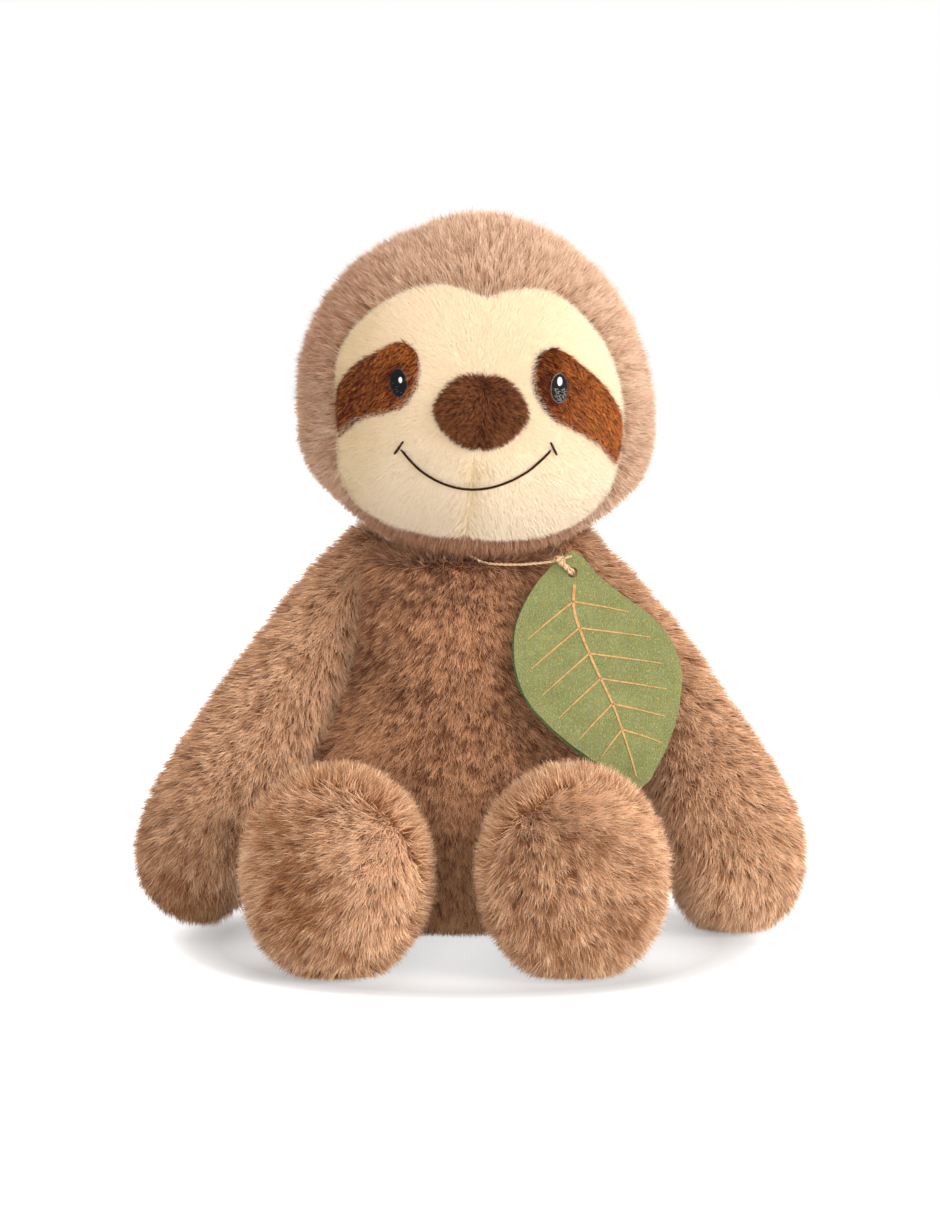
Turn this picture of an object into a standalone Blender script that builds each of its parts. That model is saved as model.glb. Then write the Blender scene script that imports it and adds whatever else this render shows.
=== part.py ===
# A seated plush sloth, modelled as it is sewn: skins of plush cloth, each filled
# with its own stuffing, joined at ball-shaped seams, with a hang tag on a string.
# Metres, +Z up, the face looks along -Y, the origin is under the middle of the toy.

import bpy
import bmesh
from math import acos, cos, exp, pi, radians, sin, sqrt
from mathutils import Matrix, Vector

# Cloth and clearances
TOUCH_GAP = 0.0003
PLUSH_WALL = 0.0026
SEAM_THICKNESS = 0.0009
FLAT_CUT = 0.0005
CUT_OVERRUN = 0.020

# Torso: a pear with a round top that the head sits on
TORSO_HEIGHT = 0.161
TORSO_WIDTH = 0.126
TORSO_DEPTH = 0.104
TORSO_OFFSET = -0.004
NECK_RADIUS = 0.045
NECK_FORWARD = 0.010
NECK_DOME_REACH = 0.028
NECK_PORT_RADIUS = 0.009
TORSO_RING_SHARES = (
    (0.012, 0.60, 0.60),
    (0.05, 0.80, 0.80),
    (0.13, 0.93, 0.94),
    (0.27, 1.00, 1.00),
    (0.42, 0.93, 0.97),
    (0.58, 0.79, 0.91),
    (0.73, 0.67, 0.83),
    (0.84, 0.575, 0.73),
)

# Head: a rounded form, flatter in front, with a soft muzzle
HEAD_WIDTH = 0.148
HEAD_HEIGHT = 0.1395
HEAD_DEPTH = 0.128
HEAD_BASE_HEIGHT = 0.153
HEAD_OFFSET = 0.0065
HEAD_FORWARD = 0.010
HEAD_ROLL = radians(4)
HEAD_TURN = radians(2)
CHEEK_SWELL_SHARE = 0.045
CHEEK_LEVEL_SHARE = -0.25
CHEEK_REACH_SHARE = 0.4
CROWN_TAPER_SHARE = 0.10
MUZZLE_BULGE = 0.007
MUZZLE_WIDTH = 0.034
MUZZLE_HEIGHT = 0.026
MUZZLE_DROP = 0.022

# Face: outlines are right halves, in shares of the panel's half sizes
FACE_HALF_WIDTH = 0.0575
FACE_HALF_HEIGHT = 0.0525
FACE_DROP = 0.0059
FACE_OUTLINE_SHARES = (
    (0.0, 0.85),
    (0.16, 0.91),
    (0.36, 0.94),
    (0.58, 0.87),
    (0.80, 0.67),
    (0.94, 0.42),
    (1.00, 0.05),
    (0.98, -0.20),
    (0.88, -0.56),
    (0.66, -0.80),
    (0.38, -0.94),
    (0.0, -1.00),
)
PATCH_THICKNESS = 0.0012
PATCH_OUTLINE_SHARES = (
    (0.50, 0.49),
    (0.415, 0.42),
    (0.39, 0.29),
    (0.415, 0.13),
    (0.50, 0.0),
    (0.62, -0.06),
    (0.78, -0.12),
    (0.88, -0.20),
    (0.94, -0.28),
    (0.965, -0.12),
    (0.945, 0.05),
    (0.88, 0.20),
    (0.78, 0.325),
    (0.66, 0.415),
    (0.57, 0.475),
)
EYE_WIDTH = 0.0064
EYE_HEIGHT = 0.0108
EYE_THICKNESS = 0.0009
EYE_PLACE_SHARES = (0.535, 0.20)
LEFT_EYE_OUT_SHARE = 0.035
HIGHLIGHT_SIZE = 0.0017
HIGHLIGHT_OUT_SHARE = 0.125
HIGHLIGHT_RISE_SHARE = 0.28
HIGHLIGHT_THICKNESS = 0.0006
NOSE_THICKNESS = 0.0028
NOSE_OUTLINE_SHARES = (
    (0.0, 0.27),
    (0.14, 0.255),
    (0.25, 0.165),
    (0.325, 0.02),
    (0.27, -0.11),
    (0.15, -0.215),
    (0.0, -0.265),
)
MOUTH_LINE_WIDTH = 0.0016
MOUTH_THICKNESS = 0.0008
MOUTH_OFFSET_SHARE = -0.028
MOUTH_LINE_SHARES = (
    (0.0, -0.565),
    (0.12, -0.55),
    (0.24, -0.505),
    (0.36, -0.43),
    (0.45, -0.345),
    (0.512, -0.275),
)
MOUTH_CORNER_SHARES = ((0.507, -0.19), (0.562, -0.298))

# Arms: thin at the shoulder, swelling to the paw
SHOULDER_SPACING = 0.092
SHOULDER_HEIGHT = 0.138
SHOULDER_BALL = 0.0195
ARM_PORT_RADIUS = 0.009
ARM_DROP = 0.1375
ARM_REACH_LEFT = 0.0625
ARM_REACH_RIGHT = 0.0685
ARM_FORWARD_LEFT = 0.020
ARM_FORWARD_RIGHT = 0.024
ARM_GIRTH_RADIUS = 0.0275
ARM_DEPTH_SHARE = 0.92
ARM_ROUTE_SHARES = (
    (0.0, 0.0, 0.0),
    (0.30, 0.18, 0.12),
    (0.57, 0.50, 0.32),
    (0.82, 0.80, 0.56),
    (0.97, 0.97, 0.78),
    (1.00, 1.0, 1.0),
)
ARM_GIRTH_SHARES = (
    (0.0, 0.70),
    (0.10, 0.665),
    (0.25, 0.725),
    (0.45, 0.885),
    (0.62, 0.985),
    (0.80, 1.0),
)
PAW_ROUND_SHARE = 0.86

# Ends of the limbs: how full the round end is, and where the ball blends into the limb
END_FULLNESS = 2.4
END_TIP_SHARE = 0.02
ROUND_START_SHARE = 0.1667
STEEP_LIMB_SHARE = 0.2

# Legs: thick and round, pointing forward, ending in a sewn sole
HIP_SPACING = 0.066
HIP_HEIGHT = 0.031
HIP_FORWARD = 0.022
HIP_BALL = 0.0245
LEG_PORT_RADIUS = 0.011
LEG_LENGTH = 0.112
FOOT_RADIUS = 0.043
FOOT_WIDTH_SHARE = 0.85
FOOT_OUT_LEFT = 0.0215
FOOT_OUT_RIGHT = 0.014
FOOT_ROUND_SHARE = 0.62
LEG_GIRTH_SHARES = (
    (0.0, 0.56),
    (0.15, 0.575),
    (0.35, 0.655),
    (0.55, 0.89),
    (0.72, 1.0),
)
LEG_LIFT_LIMIT = radians(24)
LEG_SPREAD_LIMIT = radians(12)
LEG_SWEEP_SHARES = ((0, 0), (1, 0), (0, 1), (1, 1))
THIGH_CLEAR_SHARE = 0.45
SOLE_RADIUS_SHARE = 0.80
SOLE_DEPTH = 0.016

# Seam rings inside the ball joints, as angles from the limb's outward axis
NECK_SEAM_FROM = radians(15)
NECK_SEAM_TO = radians(24)
LIMB_SEAM_FROM = radians(132)
LIMB_SEAM_TO = radians(150)

# Hang tag: two leaf cards on a twine, outline in shares of the leaf's length
TAG_LENGTH = 0.100
TAG_THICKNESS = 0.0007
TAG_HOLE_RADIUS = 0.0021
HOLE_CUT_LENGTH = 0.0084
TAG_HOLE_SHARES = (0.086, -0.027)
TAG_TILT = radians(15.2)
TAG_LEAN = radians(16)
TAG_TOP_OFFSET = 0.0455
TAG_TOP_FORWARD = 0.037
TAG_TOP_HEIGHT = 0.1585
BACK_LEAF_TURN = radians(1.4)
TAG_OUTLINE_SHARES = (
    (0.0, 0.0),
    (0.05, -0.12),
    (0.12, -0.21),
    (0.22, -0.295),
    (0.33, -0.338),
    (0.45, -0.352),
    (0.58, -0.325),
    (0.75, -0.222),
    (0.90, -0.095),
    (1.0, 0.0),
    (0.92, 0.102),
    (0.79, 0.204),
    (0.65, 0.271),
    (0.55, 0.292),
    (0.43, 0.276),
    (0.33, 0.226),
    (0.23, 0.145),
    (0.11, 0.062),
)
TWINE_DIAMETER = 0.0012
TWINE_START_ANGLE = radians(27)
TWINE_START_TURN = radians(4)
TWINE_EXIT_ANGLE = radians(36)
TWINE_EXIT_TURN = radians(24)
TWINE_SAG = 0.0015
KNOT_RADIUS = 0.0021
KNOT_SHARES = (0.035, -0.062)
LINK_LENGTH = 0.0076
LINK_STEPS = 6

# Facets of the round forms
HEAD_SIDES = 36
HEAD_RINGS = 18
TORSO_SIDES = 32
LIMB_SIDES = 22
LINING_SIDES = 14
WIDE_LINING_SIDES = 20
SWEEP_SIDES = 12
BALL_SIDES = 20
BALL_RINGS = 12
CURVE_STEPS = 2
ROUTE_STEPS = 4
DOME_STEPS = 5
BALL_CAP_STEPS = 4
LIMB_STEPS = 7
END_STEPS = 4
HEAD_LINING_RINGS = 12
OVAL_SIDES = 16
HIGHLIGHT_SIDES = 10
HOLE_SIDES = 16
SOLE_SIDES = 32
KNOT_SIDES = 12
KNOT_RINGS = 8
TWINE_BEVEL_STEPS = 2
SHARP_ANGLE = radians(50)

SIDES = (("left", -1), ("right", 1))


def clear_scene():
    for item in list(bpy.data.objects):
        bpy.data.objects.remove(item)


def make_material(name, colour, roughness, metallic=0.0):
    material = bpy.data.materials.new(name)
    material.use_nodes = True
    shader = material.node_tree.nodes["Principled BSDF"]
    shader.inputs["Base Color"].default_value = (*colour, 1.0)
    shader.inputs["Roughness"].default_value = roughness
    shader.inputs["Metallic"].default_value = metallic
    return material


def finish_mesh(mesh, name, material=None, parent=None):
    bmesh.ops.recalc_face_normals(mesh, faces=mesh.faces)
    data = bpy.data.meshes.new(name)
    mesh.to_mesh(data)
    mesh.free()
    data.shade_smooth()
    data.set_sharp_from_angle(angle=SHARP_ANGLE)
    item = bpy.data.objects.new(name, data)
    bpy.context.scene.collection.objects.link(item)
    if material:
        item.data.materials.append(material)
    if parent:
        item.parent = parent
        item.matrix_parent_inverse = parent.matrix_world.inverted()
    return item


def as_cutter(item):
    item.hide_render = True
    item.display_type = "WIRE"
    return item


def boolean(item, cutter, operation="DIFFERENCE"):
    modifier = item.modifiers.new(cutter.name, "BOOLEAN")
    modifier.operation = operation
    modifier.solver = "EXACT"
    modifier.object = cutter
    return item


def make_empty(name, place, parent=None):
    item = bpy.data.objects.new(name, None)
    bpy.context.scene.collection.objects.link(item)
    item.location = place
    if parent:
        item.parent = parent
        item.matrix_parent_inverse = parent.matrix_world.inverted()
    bpy.context.view_layer.update()
    return item


def smooth_points(points, steps, closed=False):
    """Points on a smooth curve through the given ones, as tuples of numbers."""
    count = len(points)
    spans = count if closed else count - 1
    found = []
    for span in range(spans):
        if closed:
            picked = [points[(span + shift) % count] for shift in (-1, 0, 1, 2)]
        else:
            picked = [points[min(max(span + shift, 0), count - 1)] for shift in (-1, 0, 1, 2)]
        for step in range(steps):
            share = step / steps
            found.append(tuple(curve_value(values, share) for values in zip(*picked)))
    if not closed:
        found.append(tuple(points[-1]))
    return found


def curve_value(values, share):
    before, start, end, after = values
    return 0.5 * (
        2 * start
        + (end - before) * share
        + (2 * before - 5 * start + 4 * end - after) * share**2
        + (3 * start - before - 3 * end + after) * share**3
    )


def table_value(table, share, column=1):
    """A value read from a table of shares on a smooth curve."""
    if share <= table[0][0]:
        return table[0][column]
    if share >= table[-1][0]:
        return table[-1][column]
    span = max(index for index in range(len(table) - 1) if table[index][0] <= share)
    rows = [table[min(max(span + shift, 0), len(table) - 1)] for shift in (-1, 0, 1, 2)]
    along = (share - rows[1][0]) / (rows[2][0] - rows[1][0])
    return curve_value([row[column] for row in rows], along)


def lofted_form(rings, start_pole, end_pole):
    """A closed form through rings of points, with a point at each end."""
    mesh = bmesh.new()
    loops = [[mesh.verts.new(point) for point in ring] for ring in rings]
    sides = len(rings[0])
    for lower, upper in zip(loops, loops[1:]):
        for index in range(sides):
            after = (index + 1) % sides
            mesh.faces.new((lower[index], lower[after], upper[after], upper[index]))
    for pole, loop in ((start_pole, loops[0]), (end_pole, loops[-1])):
        tip = mesh.verts.new(pole)
        for index in range(sides):
            mesh.faces.new((tip, loop[index], loop[(index + 1) % sides]))
    return mesh


def ring_points(centre, across, upward, half_width, half_height, sides):
    angles = [2 * pi * index / sides for index in range(sides)]
    return [
        centre + across * half_width * cos(angle) + upward * half_height * sin(angle)
        for angle in angles
    ]


def sphere_cutter(name, centre, radius):
    """A ball whose flats, not its corners, lie at the radius."""
    mesh = bmesh.new()
    radius /= cos(pi / BALL_SIDES) * cos(pi / BALL_RINGS / 2)
    bmesh.ops.create_uvsphere(mesh, u_segments=BALL_SIDES, v_segments=BALL_RINGS, radius=radius)
    bmesh.ops.translate(mesh, verts=mesh.verts, vec=centre)
    return as_cutter(finish_mesh(mesh, name))


def round_cutter(name, start, direction, radius, length, sides=LIMB_SIDES, far_radius=None):
    """A rod-shaped cutter from start, along direction, which may widen to its far end."""
    mesh = bmesh.new()
    bmesh.ops.create_cone(
        mesh,
        cap_ends=True,
        segments=sides,
        radius1=radius,
        radius2=far_radius or radius,
        depth=length,
    )
    turn = Vector((0, 0, 1)).rotation_difference(direction).to_matrix().to_4x4()
    middle = Matrix.Translation(start + direction * (length / 2))
    bmesh.ops.transform(mesh, matrix=middle @ turn, verts=mesh.verts)
    return as_cutter(finish_mesh(mesh, name))


def floor_cutter():
    mesh = bmesh.new()
    bmesh.ops.create_cube(mesh, size=1.0)
    size = (TORSO_WIDTH * 4, LEG_LENGTH * 4, CUT_OVERRUN)
    bmesh.ops.scale(mesh, vec=size, verts=mesh.verts)
    bmesh.ops.translate(mesh, vec=(0, 0, -CUT_OVERRUN / 2), verts=mesh.verts)
    return as_cutter(finish_mesh(mesh, "cutter_floor"))


def outline_prism(points, thickness):
    """A plate with this outline in X and Z, its back at Y = 0, its front at -thickness."""
    mesh = bmesh.new()
    loop = [mesh.verts.new((across, 0, upward)) for across, upward in points]
    face = mesh.faces.new(loop)
    grown = bmesh.ops.extrude_face_region(mesh, geom=[face])
    moved = [piece for piece in grown["geom"] if isinstance(piece, bmesh.types.BMVert)]
    bmesh.ops.translate(mesh, verts=moved, vec=(0, -thickness, 0))
    return mesh


# Ball joints


def socket_radius(ball):
    """Radius of the hollow round a ball: the seam ring lies in it with a gap each side."""
    return ball + SEAM_THICKNESS + 2 * TOUCH_GAP


def seam_ring(name, centre, axis, ball, from_angle, to_angle, material, parent):
    """A ring of stitched cloth, part of a thin ball shell round the joint's centre."""
    inner = ball + TOUCH_GAP
    outer = inner + SEAM_THICKNESS
    steps = CURVE_STEPS
    angles = [from_angle + (to_angle - from_angle) * step / steps for step in range(steps + 1)]
    profile = [(inner, angle) for angle in angles] + [(outer, angle) for angle in reversed(angles)]
    turn = Vector((0, 0, 1)).rotation_difference(axis)
    mesh = bmesh.new()
    loops = []
    for side in range(BALL_SIDES):
        around = 2 * pi * side / BALL_SIDES
        places = []
        for radius, polar in profile:
            local = Vector((sin(polar) * cos(around), sin(polar) * sin(around), cos(polar)))
            places.append(mesh.verts.new(centre + turn @ (local * radius)))
        loops.append(places)
    count = len(profile)
    for side in range(BALL_SIDES):
        here, there = loops[side], loops[(side + 1) % BALL_SIDES]
        for index in range(count):
            after = (index + 1) % count
            mesh.faces.new((here[index], here[after], there[after], there[index]))
    return finish_mesh(mesh, name, material, parent)


# Torso


def neck_pivot():
    return Vector((TORSO_OFFSET, -NECK_FORWARD, TORSO_HEIGHT - NECK_RADIUS))


def torso_form(inset, sides):
    """The pear below, the ball dome on top, all moved in by the inset."""
    pivot = neck_pivot()
    dome = NECK_RADIUS - inset
    reach = acos(min(NECK_DOME_REACH / NECK_RADIUS, 1))
    rings = []
    rise = NECK_RADIUS * sin(reach)
    top_share = (pivot.z + rise) / TORSO_HEIGHT
    table = TORSO_RING_SHARES + (
        (
            top_share,
            NECK_DOME_REACH / (TORSO_WIDTH / 2),
            NECK_DOME_REACH / (TORSO_DEPTH / 2),
        ),
    )
    for share, _, _ in table[:-1]:
        for part in (0, 0.5) if inset == 0 else (0,):
            index = [row[0] for row in table].index(share)
            place = share + (table[index + 1][0] - share) * part
            height = max(place * TORSO_HEIGHT, inset * (1 + place))
            forward = NECK_FORWARD * place**3
            centre = Vector((TORSO_OFFSET, -forward, height))
            half_width = TORSO_WIDTH / 2 * table_value(table, place) - inset
            half_depth = TORSO_DEPTH / 2 * table_value(table, place, 2) - inset
            rings.append(
                ring_points(
                    centre, Vector((1, 0, 0)), Vector((0, 1, 0)), half_width, half_depth, sides
                )
            )
    for step in range(DOME_STEPS):
        angle = reach + (pi / 2 - reach) * step / DOME_STEPS
        centre = pivot + Vector((0, 0, dome * sin(angle)))
        radius = dome * cos(angle)
        rings.append(
            ring_points(centre, Vector((1, 0, 0)), Vector((0, 1, 0)), radius, radius, sides)
        )
    bottom = Vector((TORSO_OFFSET, 0, inset - FLAT_CUT))
    return lofted_form(rings, bottom, pivot + Vector((0, 0, dome)))


# Head, made round its own centre and then placed


def head_matrix():
    height = HEAD_BASE_HEIGHT + HEAD_HEIGHT / 2
    centre = Vector((TORSO_OFFSET + HEAD_OFFSET, -HEAD_FORWARD, height))
    turn = Matrix.Rotation(HEAD_TURN, 4, "Z")
    return Matrix.Translation(centre) @ turn @ Matrix.Rotation(HEAD_ROLL, 4, "Y")


def head_point(around, polar, offset):
    """A point of the head's surface: around from the +X side, polar from the crown."""
    upward = cos(polar)
    ring = sin(polar)
    cheek_way = (upward - CHEEK_LEVEL_SHARE) / CHEEK_REACH_SHARE
    cheeks = 1 + CHEEK_SWELL_SHARE * exp(-(cheek_way**2))
    crown = 1 - CROWN_TAPER_SHARE * max(upward, 0) ** 2
    width = (HEAD_WIDTH / 2 / (1 + CHEEK_SWELL_SHARE)) * cheeks * crown + offset
    depth = HEAD_DEPTH / 2 * crown + offset
    height = HEAD_HEIGHT / 2 + offset
    place = Vector((ring * cos(around) * width, ring * sin(around) * depth, upward * height))
    if place.y < 0:
        spread = (place.x / MUZZLE_WIDTH) ** 2 + ((place.z + MUZZLE_DROP) / MUZZLE_HEIGHT) ** 2
        place.y -= MUZZLE_BULGE * exp(-spread) * min(-place.y / (depth / 2), 1)
    return place


def head_form(offset, sides, rings):
    loops = []
    for ring in range(1, rings):
        polar = pi * ring / rings
        loops.append(
            [head_point(2 * pi * (side + 0.5) / sides, polar, offset) for side in range(sides)]
        )
    height = HEAD_HEIGHT / 2 + offset
    return lofted_form(loops, Vector((0, 0, height)), Vector((0, 0, -height)))


def head_piece(name, offset, material=None, parent=None, lining=False):
    if lining:
        mesh = head_form(offset, WIDE_LINING_SIDES, HEAD_LINING_RINGS)
    else:
        mesh = head_form(offset, HEAD_SIDES, HEAD_RINGS)
    bmesh.ops.transform(mesh, matrix=head_matrix(), verts=mesh.verts)
    return finish_mesh(mesh, name, material, parent)


def mirrored_outline(half):
    """A whole closed outline from its right half, top to bottom."""
    left = [(-across, upward) for across, upward in reversed(half[1:-1])]
    return list(half) + left


def face_prism(name, outline, grow, steps=CURVE_STEPS):
    """A cutter through the face: an outline in shares of the face, grown by a length."""
    middle_x = sum(point[0] for point in outline) / len(outline)
    middle_z = sum(point[1] for point in outline) / len(outline)
    points = []
    for across, upward in smooth_points(outline, steps, closed=True):
        local = Vector(
            ((across - middle_x) * FACE_HALF_WIDTH, (upward - middle_z) * FACE_HALF_HEIGHT)
        )
        local += local.normalized() * grow
        points.append(
            (
                middle_x * FACE_HALF_WIDTH + local.x,
                middle_z * FACE_HALF_HEIGHT + local.y - FACE_DROP,
            )
        )
    mesh = outline_prism(points, HEAD_DEPTH)
    bmesh.ops.transform(mesh, matrix=head_matrix(), verts=mesh.verts)
    return as_cutter(finish_mesh(mesh, name))


def face_layer(name, outline, lift, thickness, material, parent, steps=CURVE_STEPS):
    """A thin piece on the face: its back is lifted off the face cloth by a length."""
    item = head_piece(name, lift + thickness, material, parent)
    boolean(item, face_prism("cutter_outline_" + name, outline, 0, steps), "INTERSECT")
    boolean(item, as_cutter(head_piece("cutter_back_" + name, lift)))
    return item


def side_outline(outline, side):
    points = [(side * across, upward) for across, upward in outline]
    return points if side > 0 else list(reversed(points))


def oval_outline(centre, half_width, half_height, count=OVAL_SIDES):
    return [
        (
            centre[0] + half_width * cos(2 * pi * index / count) / FACE_HALF_WIDTH,
            centre[1] + half_height * sin(2 * pi * index / count) / FACE_HALF_HEIGHT,
        )
        for index in range(count)
    ]


def band_outline(line, width):
    """The closed outline of a line with a width, in shares of the face."""
    scaled = [Vector((across * FACE_HALF_WIDTH, up * FACE_HALF_HEIGHT)) for across, up in line]
    near, far = [], []
    for index, point in enumerate(scaled):
        before = scaled[max(index - 1, 0)]
        after = scaled[min(index + 1, len(scaled) - 1)]
        along = (after - before).normalized()
        beside = Vector((-along.y, along.x)) * (width / 2)
        near.append(point + beside)
        far.append(point - beside)
    whole = near + list(reversed(far))
    return [(point.x / FACE_HALF_WIDTH, point.y / FACE_HALF_HEIGHT) for point in whole]


# Limbs


def limb_frame(direction):
    across = direction.cross(Vector((0, 0, 1)))
    if across.length < STEEP_LIMB_SHARE:
        across = direction.cross(Vector((0, 1, 0)))
    across.normalize()
    return across, across.cross(direction).normalized()


def limb_form(route, girths, girth, ball, depth_share, round_share, inset, sides):
    """A limb along a route: a ball round the first point, then girths, then a round end."""
    places = [Vector(point) for point in smooth_points(route, ROUTE_STEPS)]
    lengths = [0.0]
    for here, there in zip(places, places[1:]):
        lengths.append(lengths[-1] + (there - here).length)
    total = lengths[-1] - inset
    start = (places[1] - places[0]).normalized()
    across, upward = limb_frame(start)
    rings = []
    for step in range(1, BALL_CAP_STEPS):
        angle = pi / 2 * step / BALL_CAP_STEPS
        radius = (ball - inset) * sin(angle)
        centre = places[0] - start * (ball - inset) * cos(angle)
        rings.append(ring_points(centre, across, upward, radius, radius, sides))
    end_length = girth * round_share
    end_start = total - end_length
    shares = [index / LIMB_STEPS * end_start / total for index in range(LIMB_STEPS + 1)]
    for step in range(1, END_STEPS):
        shares.append((end_start + end_length * sin(pi / 2 * step / END_STEPS)) / total)
    for share in shares:
        place, along = place_on(places, lengths, share * total)
        across, upward = carried_frame(across, along)
        radius = girth * table_value(girths, share)
        beyond = max(share * total - end_start, 0) / end_length
        rounding = sqrt(max(1 - beyond**END_FULLNESS, 0))
        radius = max(radius * rounding - inset, girth * END_TIP_SHARE)
        flat = depth_share + (1 - depth_share) * max(1 - share / ROUND_START_SHARE, 0)
        rings.append(ring_points(place, across, upward, radius * flat, radius, sides))
    tip, along = place_on(places, lengths, total)
    return lofted_form(rings, places[0] - start * (ball - inset), tip)


def place_on(places, lengths, distance):
    index = max(i for i in range(len(lengths) - 1) if lengths[i] <= distance)
    span = lengths[index + 1] - lengths[index]
    along = (places[index + 1] - places[index]) / span
    before = (places[index] - places[max(index - 1, 0)]).normalized()
    share = (distance - lengths[index]) / span
    direction = (along + (before if before.length else along) * (1 - share)).normalized()
    return places[index] + along * (distance - lengths[index]), direction


def carried_frame(across, along):
    across = (across - along * across.dot(along)).normalized()
    return across, across.cross(along).normalized()


def shoulder_pivot(side):
    return Vector((TORSO_OFFSET + side * SHOULDER_SPACING / 2, 0, SHOULDER_HEIGHT))


def arm_route(side):
    pivot = shoulder_pivot(side)
    reach = ARM_REACH_RIGHT if side > 0 else ARM_REACH_LEFT
    ahead = ARM_FORWARD_RIGHT if side > 0 else ARM_FORWARD_LEFT
    return [
        pivot + Vector((side * reach * out, -ahead * forward, -ARM_DROP * down))
        for out, forward, down in ARM_ROUTE_SHARES
    ]


def arm_form(side, inset, sides):
    return limb_form(
        arm_route(side),
        ARM_GIRTH_SHARES,
        ARM_GIRTH_RADIUS,
        SHOULDER_BALL,
        ARM_DEPTH_SHARE,
        PAW_ROUND_SHARE,
        inset,
        sides,
    )


def hip_pivot(side):
    return Vector((TORSO_OFFSET + side * HIP_SPACING / 2, -HIP_FORWARD, HIP_HEIGHT))


def leg_route(side):
    pivot = hip_pivot(side)
    out = FOOT_OUT_RIGHT if side > 0 else FOOT_OUT_LEFT
    rise = FOOT_RADIUS - FLAT_CUT - HIP_HEIGHT
    end = pivot + Vector((side * out, -LEG_LENGTH, rise))
    return [pivot, pivot.lerp(end, 1 / 3), pivot.lerp(end, 2 / 3), end]


def leg_form(side, inset, sides):
    return limb_form(
        leg_route(side),
        LEG_GIRTH_SHARES,
        FOOT_RADIUS,
        HIP_BALL,
        FOOT_WIDTH_SHARE,
        FOOT_ROUND_SHARE,
        inset,
        sides,
    )


def leg_direction(side):
    route = leg_route(side)
    return (route[-1] - route[0]).normalized()


def leg_sweep_cutters(side, room):
    """Rods as wide as the thigh with room round it, at the ends of its lift and spread."""
    cutters = []
    pivot = hip_pivot(side)
    reach = LEG_LENGTH * THIGH_CLEAR_SHARE
    near = (HIP_BALL + room) / cos(pi / SWEEP_SIDES)
    far = FOOT_RADIUS * table_value(LEG_GIRTH_SHARES, THIGH_CLEAR_SHARE) + room
    for number, (lift_share, spread_share) in enumerate(LEG_SWEEP_SHARES):
        lift = Matrix.Rotation(-LEG_LIFT_LIMIT * lift_share, 3, "X")
        spread = Matrix.Rotation(side * LEG_SPREAD_LIMIT * spread_share, 3, "Z")
        direction = spread @ lift @ leg_direction(side)
        name = "cutter_thigh_" + ("right_" if side > 0 else "left_") + str(number)
        cutters.append(
            round_cutter(
                name, pivot, direction, near, reach, SWEEP_SIDES, far / cos(pi / SWEEP_SIDES)
            )
        )
    return cutters


# Hang tag


def tag_matrix():
    top = Vector((TORSO_OFFSET + TAG_TOP_OFFSET, -TAG_TOP_FORWARD, TAG_TOP_HEIGHT))
    lean = Matrix.Rotation(-TAG_LEAN, 4, "X")
    tilt = Matrix.Rotation(-TAG_TILT, 4, "Y")
    return Matrix.Translation(top) @ lean @ tilt


def leaf(name, turn, depth, material, parent):
    """One card: the stalk end is the local origin, the card hangs down -Z."""
    points = smooth_points(TAG_OUTLINE_SHARES, CURVE_STEPS, closed=True)
    outline = [(across * TAG_LENGTH, -down * TAG_LENGTH) for down, across in points]
    mesh = outline_prism(outline, TAG_THICKNESS)
    hole = card_place(TAG_HOLE_SHARES)
    to_hole = Matrix.Translation(hole)
    place = tag_matrix() @ Matrix.Translation((0, depth, 0))
    place = place @ to_hole @ Matrix.Rotation(turn, 4, "Y") @ to_hole.inverted()
    bmesh.ops.transform(mesh, matrix=place, verts=mesh.verts)
    card = finish_mesh(mesh, name, material, parent)
    start = tag_matrix() @ (hole + Vector((0, HOLE_CUT_LENGTH / 2, 0)))
    front = (tag_matrix().to_3x3() @ Vector((0, -1, 0))).normalized()
    cutter = round_cutter(
        "cutter_hole_" + name, start, front, TAG_HOLE_RADIUS, HOLE_CUT_LENGTH, HOLE_SIDES
    )
    return boolean(card, cutter)


def card_place(shares):
    """A place on the front card's face, from shares of the leaf down and across."""
    return Vector((shares[1] * TAG_LENGTH, 0, -shares[0] * TAG_LENGTH))


def knot_place():
    """The knot lies on the link's front strand, just before the card."""
    lift = TAG_THICKNESS + TWINE_DIAMETER + KNOT_RADIUS + TOUCH_GAP * 2
    return tag_matrix() @ (card_place(KNOT_SHARES) - Vector((0, lift, 0)))


def link_points():
    """A closed loop of twine through the hole and round both cards' edge."""
    hole = card_place(TAG_HOLE_SHARES)
    along = (card_place(KNOT_SHARES) - hole).normalized()
    middle = Vector((0, TOUCH_GAP / 2, 0))
    half = TAG_THICKNESS + TOUCH_GAP * 1.5 + TWINE_DIAMETER / 2
    near = hole + along * half + middle
    far = hole + along * LINK_LENGTH + middle
    points = []
    for centre, start in ((near, pi / 2), (far, -pi / 2)):
        for step in range(LINK_STEPS + 1):
            angle = start + pi * step / LINK_STEPS
            points.append(centre + along * half * cos(angle) + Vector((0, half * sin(angle), 0)))
    return [tag_matrix() @ point for point in points]


def dome_place(polar, turn, lift):
    """A point over the neck dome: polar from the top, turned from the front to the right."""
    away = Vector((sin(polar) * sin(turn), -sin(polar) * cos(turn), cos(polar)))
    return neck_pivot() + away * (NECK_RADIUS + lift)


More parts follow.
